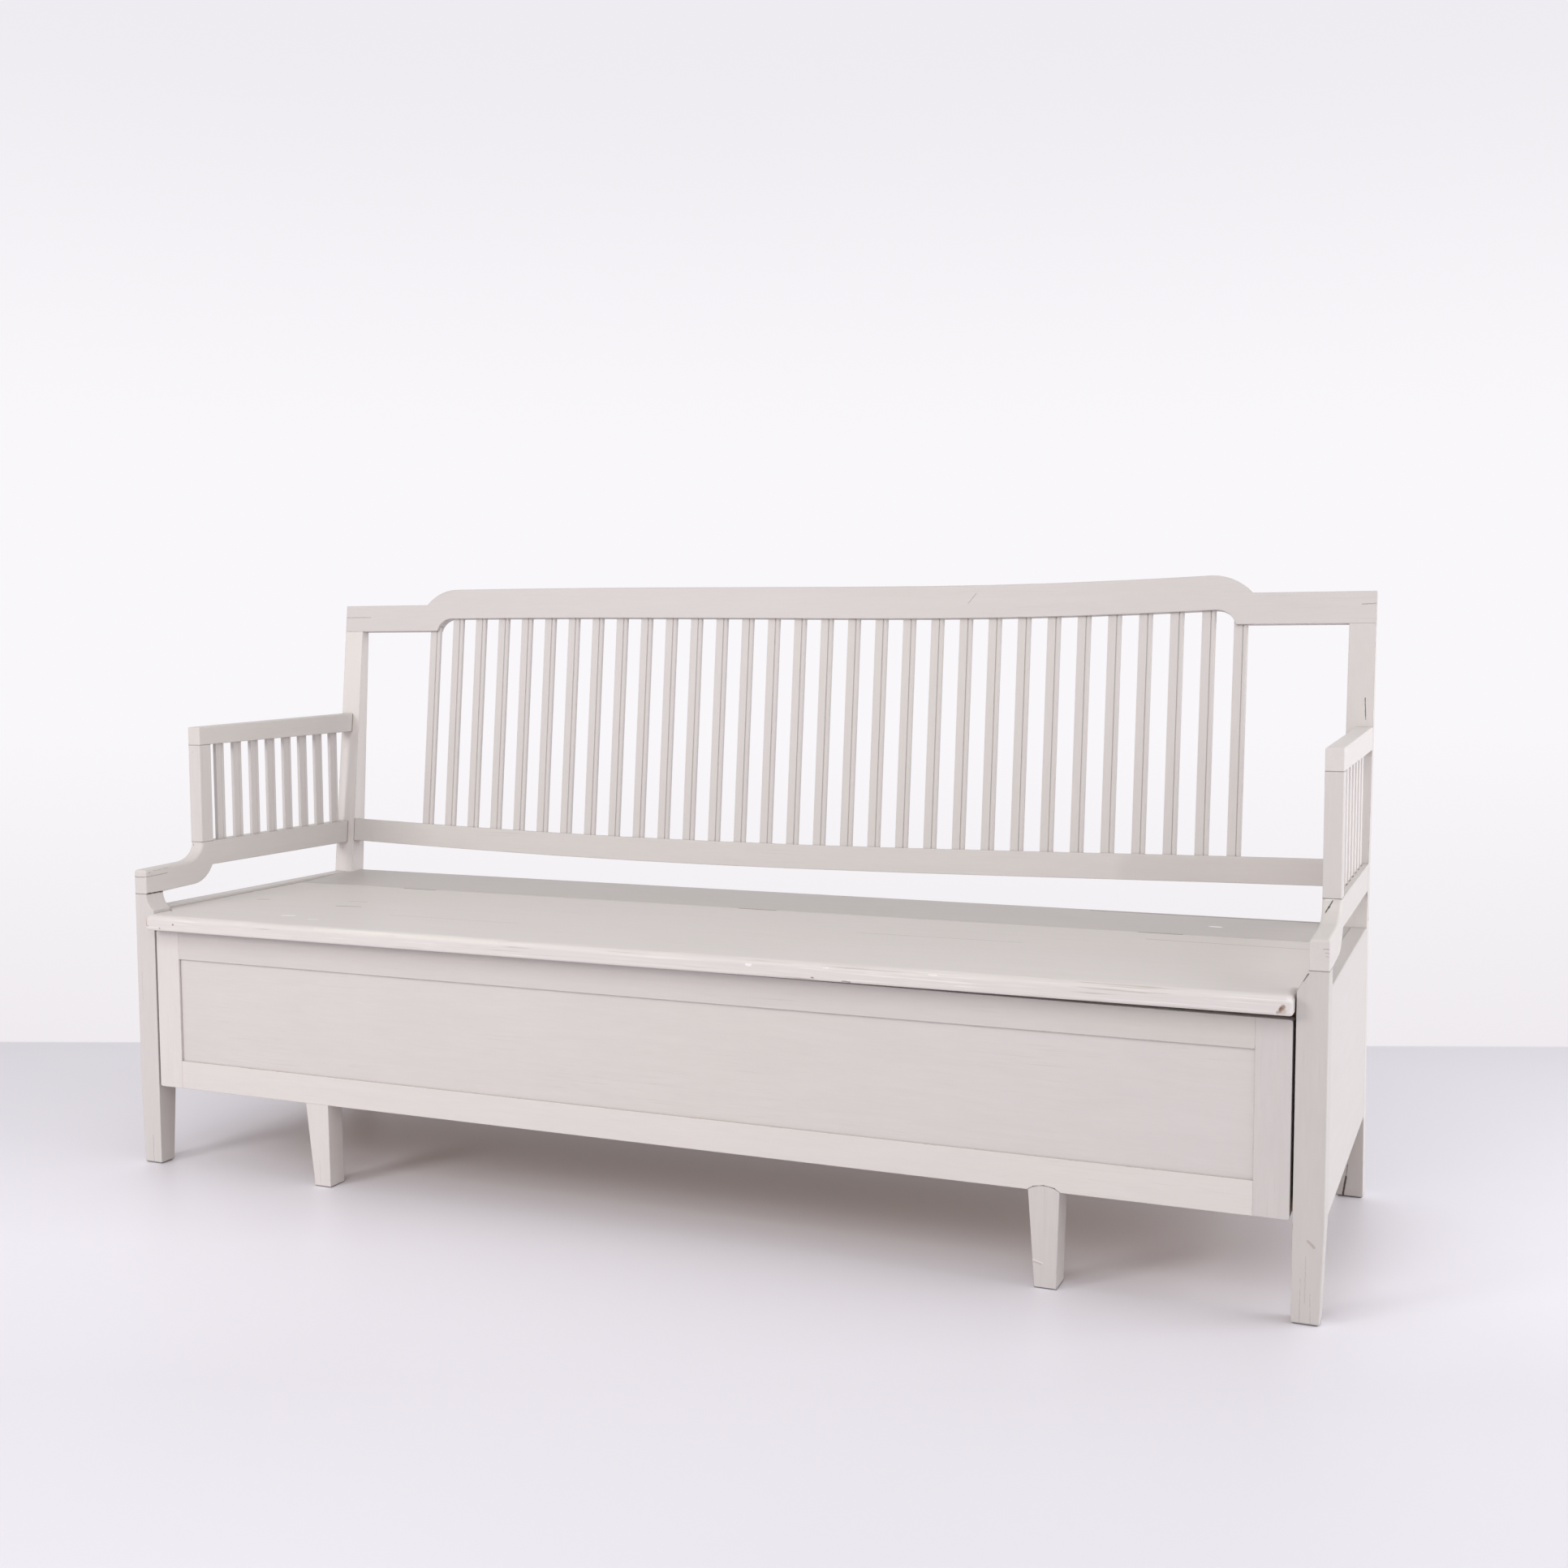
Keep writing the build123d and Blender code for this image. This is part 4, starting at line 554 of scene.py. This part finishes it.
def floor():
    """Pale floor that keeps the shadow, with painted shade towards the wall's foot and on the near floor, and
    takes the wall's tone beyond the wall's foot.
    """
    material, t = new_material("floor")
    place = t.add("ShaderNodeTexCoord").outputs["Object"]
    back = t.vector("DOT_PRODUCT", place, WALL_NORMAL)
    soft = t.noise(place, 0.7, 2.0)
    tone = t.mix(t.ramp(soft, 0.35, 0.65), *FLOOR_TONES)
    # painted shade: the floor is darker towards the wall's foot, and darker again on the floor nearest the
    # camera
    far_shade = t.ramp(back, 0.0, WALL_OFFSET, 1.0, 0.87, smooth=False)
    near_shade = t.ramp(back, -0.85, -0.35, 0.89, 1.0, smooth=False)
    tone = t.mix(1.0, tone, t.math("MULTIPLY", far_shade, near_shade), "MULTIPLY")
    shader = t.add("ShaderNodeBsdfPrincipled")
    t.put(shader.inputs["Base Color"], tone)
    shader.inputs["Roughness"].default_value = 0.42
    shader.inputs["Specular IOR Level"].default_value = 0.35
    fade = t.math("DIVIDE", WALL_FADE, t.math("ADD", back, WALL_FADE - WALL_OFFSET))
    glow = t.add("ShaderNodeEmission")
    t.put(glow.inputs["Color"], t.mix(t.ramp(fade, 1.0, 0.22, smooth=False), WALL_FOOT, WALL_PALE))
    path = t.add("ShaderNodeLightPath")
    beyond = t.ramp(back, WALL_OFFSET, WALL_OFFSET + 0.02)
    both = t.add("ShaderNodeMixShader")
    t.put(both.inputs[0], t.math("MULTIPLY", beyond, path.outputs["Is Camera Ray"]))
    t.put(both.inputs[1], shader.outputs[0])
    t.put(both.inputs[2], glow.outputs[0])
    out = t.add("ShaderNodeOutputMaterial")
    t.put(out.inputs["Surface"], both.outputs[0])
    bpy.ops.mesh.primitive_plane_add(size=FLOOR_SIZE, location=(0, 0, 0))
    plane = bpy.context.object
    plane.name = "studio_floor"
    plane.data.materials.append(material)


def world():
    """Wall tone for what the camera sees past the floor, even sky light for the rest."""
    made = bpy.data.worlds.new("studio")
    bpy.context.scene.world = made
    made.use_nodes = True
    t = Tree(made)
    direction = t.add("ShaderNodeTexCoord").outputs["Generated"]
    up = t.add("ShaderNodeSeparateXYZ")
    t.put(up.inputs[0], direction)
    sky = t.add("ShaderNodeBackground")
    t.put(sky.inputs["Color"], wall_colour(t, up.outputs["Z"]))
    lamp = t.add("ShaderNodeBackground")
    lamp.inputs["Color"].default_value = SKY_COLOUR
    lamp.inputs["Strength"].default_value = SKY_LIGHT
    path = t.add("ShaderNodeLightPath")
    both = t.add("ShaderNodeMixShader")
    direct = t.math("ADD", path.outputs["Is Camera Ray"], path.outputs["Is Glossy Ray"], clamp=True)
    direct = t.math("ADD", direct, path.outputs["Is Transmission Ray"], clamp=True)
    t.put(both.inputs[0], direct)
    t.put(both.inputs[1], lamp.outputs[0])
    t.put(both.inputs[2], sky.outputs[0])
    out = t.add("ShaderNodeOutputWorld")
    t.put(out.inputs["Surface"], both.outputs[0])


def softbox(name, place, target, size, watts, colour):
    """Rectangular lamp that points at a target."""
    data = bpy.data.lights.new(name, "AREA")
    data.shape = "RECTANGLE"
    data.size, data.size_y = size
    data.energy = watts
    data.color = colour
    obj = bpy.data.objects.new(name, data)
    bpy.context.scene.collection.objects.link(obj)
    obj.location = place
    obj.rotation_mode = "QUATERNION"
    obj.rotation_quaternion = (Vector(target) - Vector(place)).to_track_quat("-Z", "Y")


floor()
world()
for lamp in SOFTBOXES:
    softbox(*lamp)

bpy.context.scene.view_settings.view_transform = "Standard"
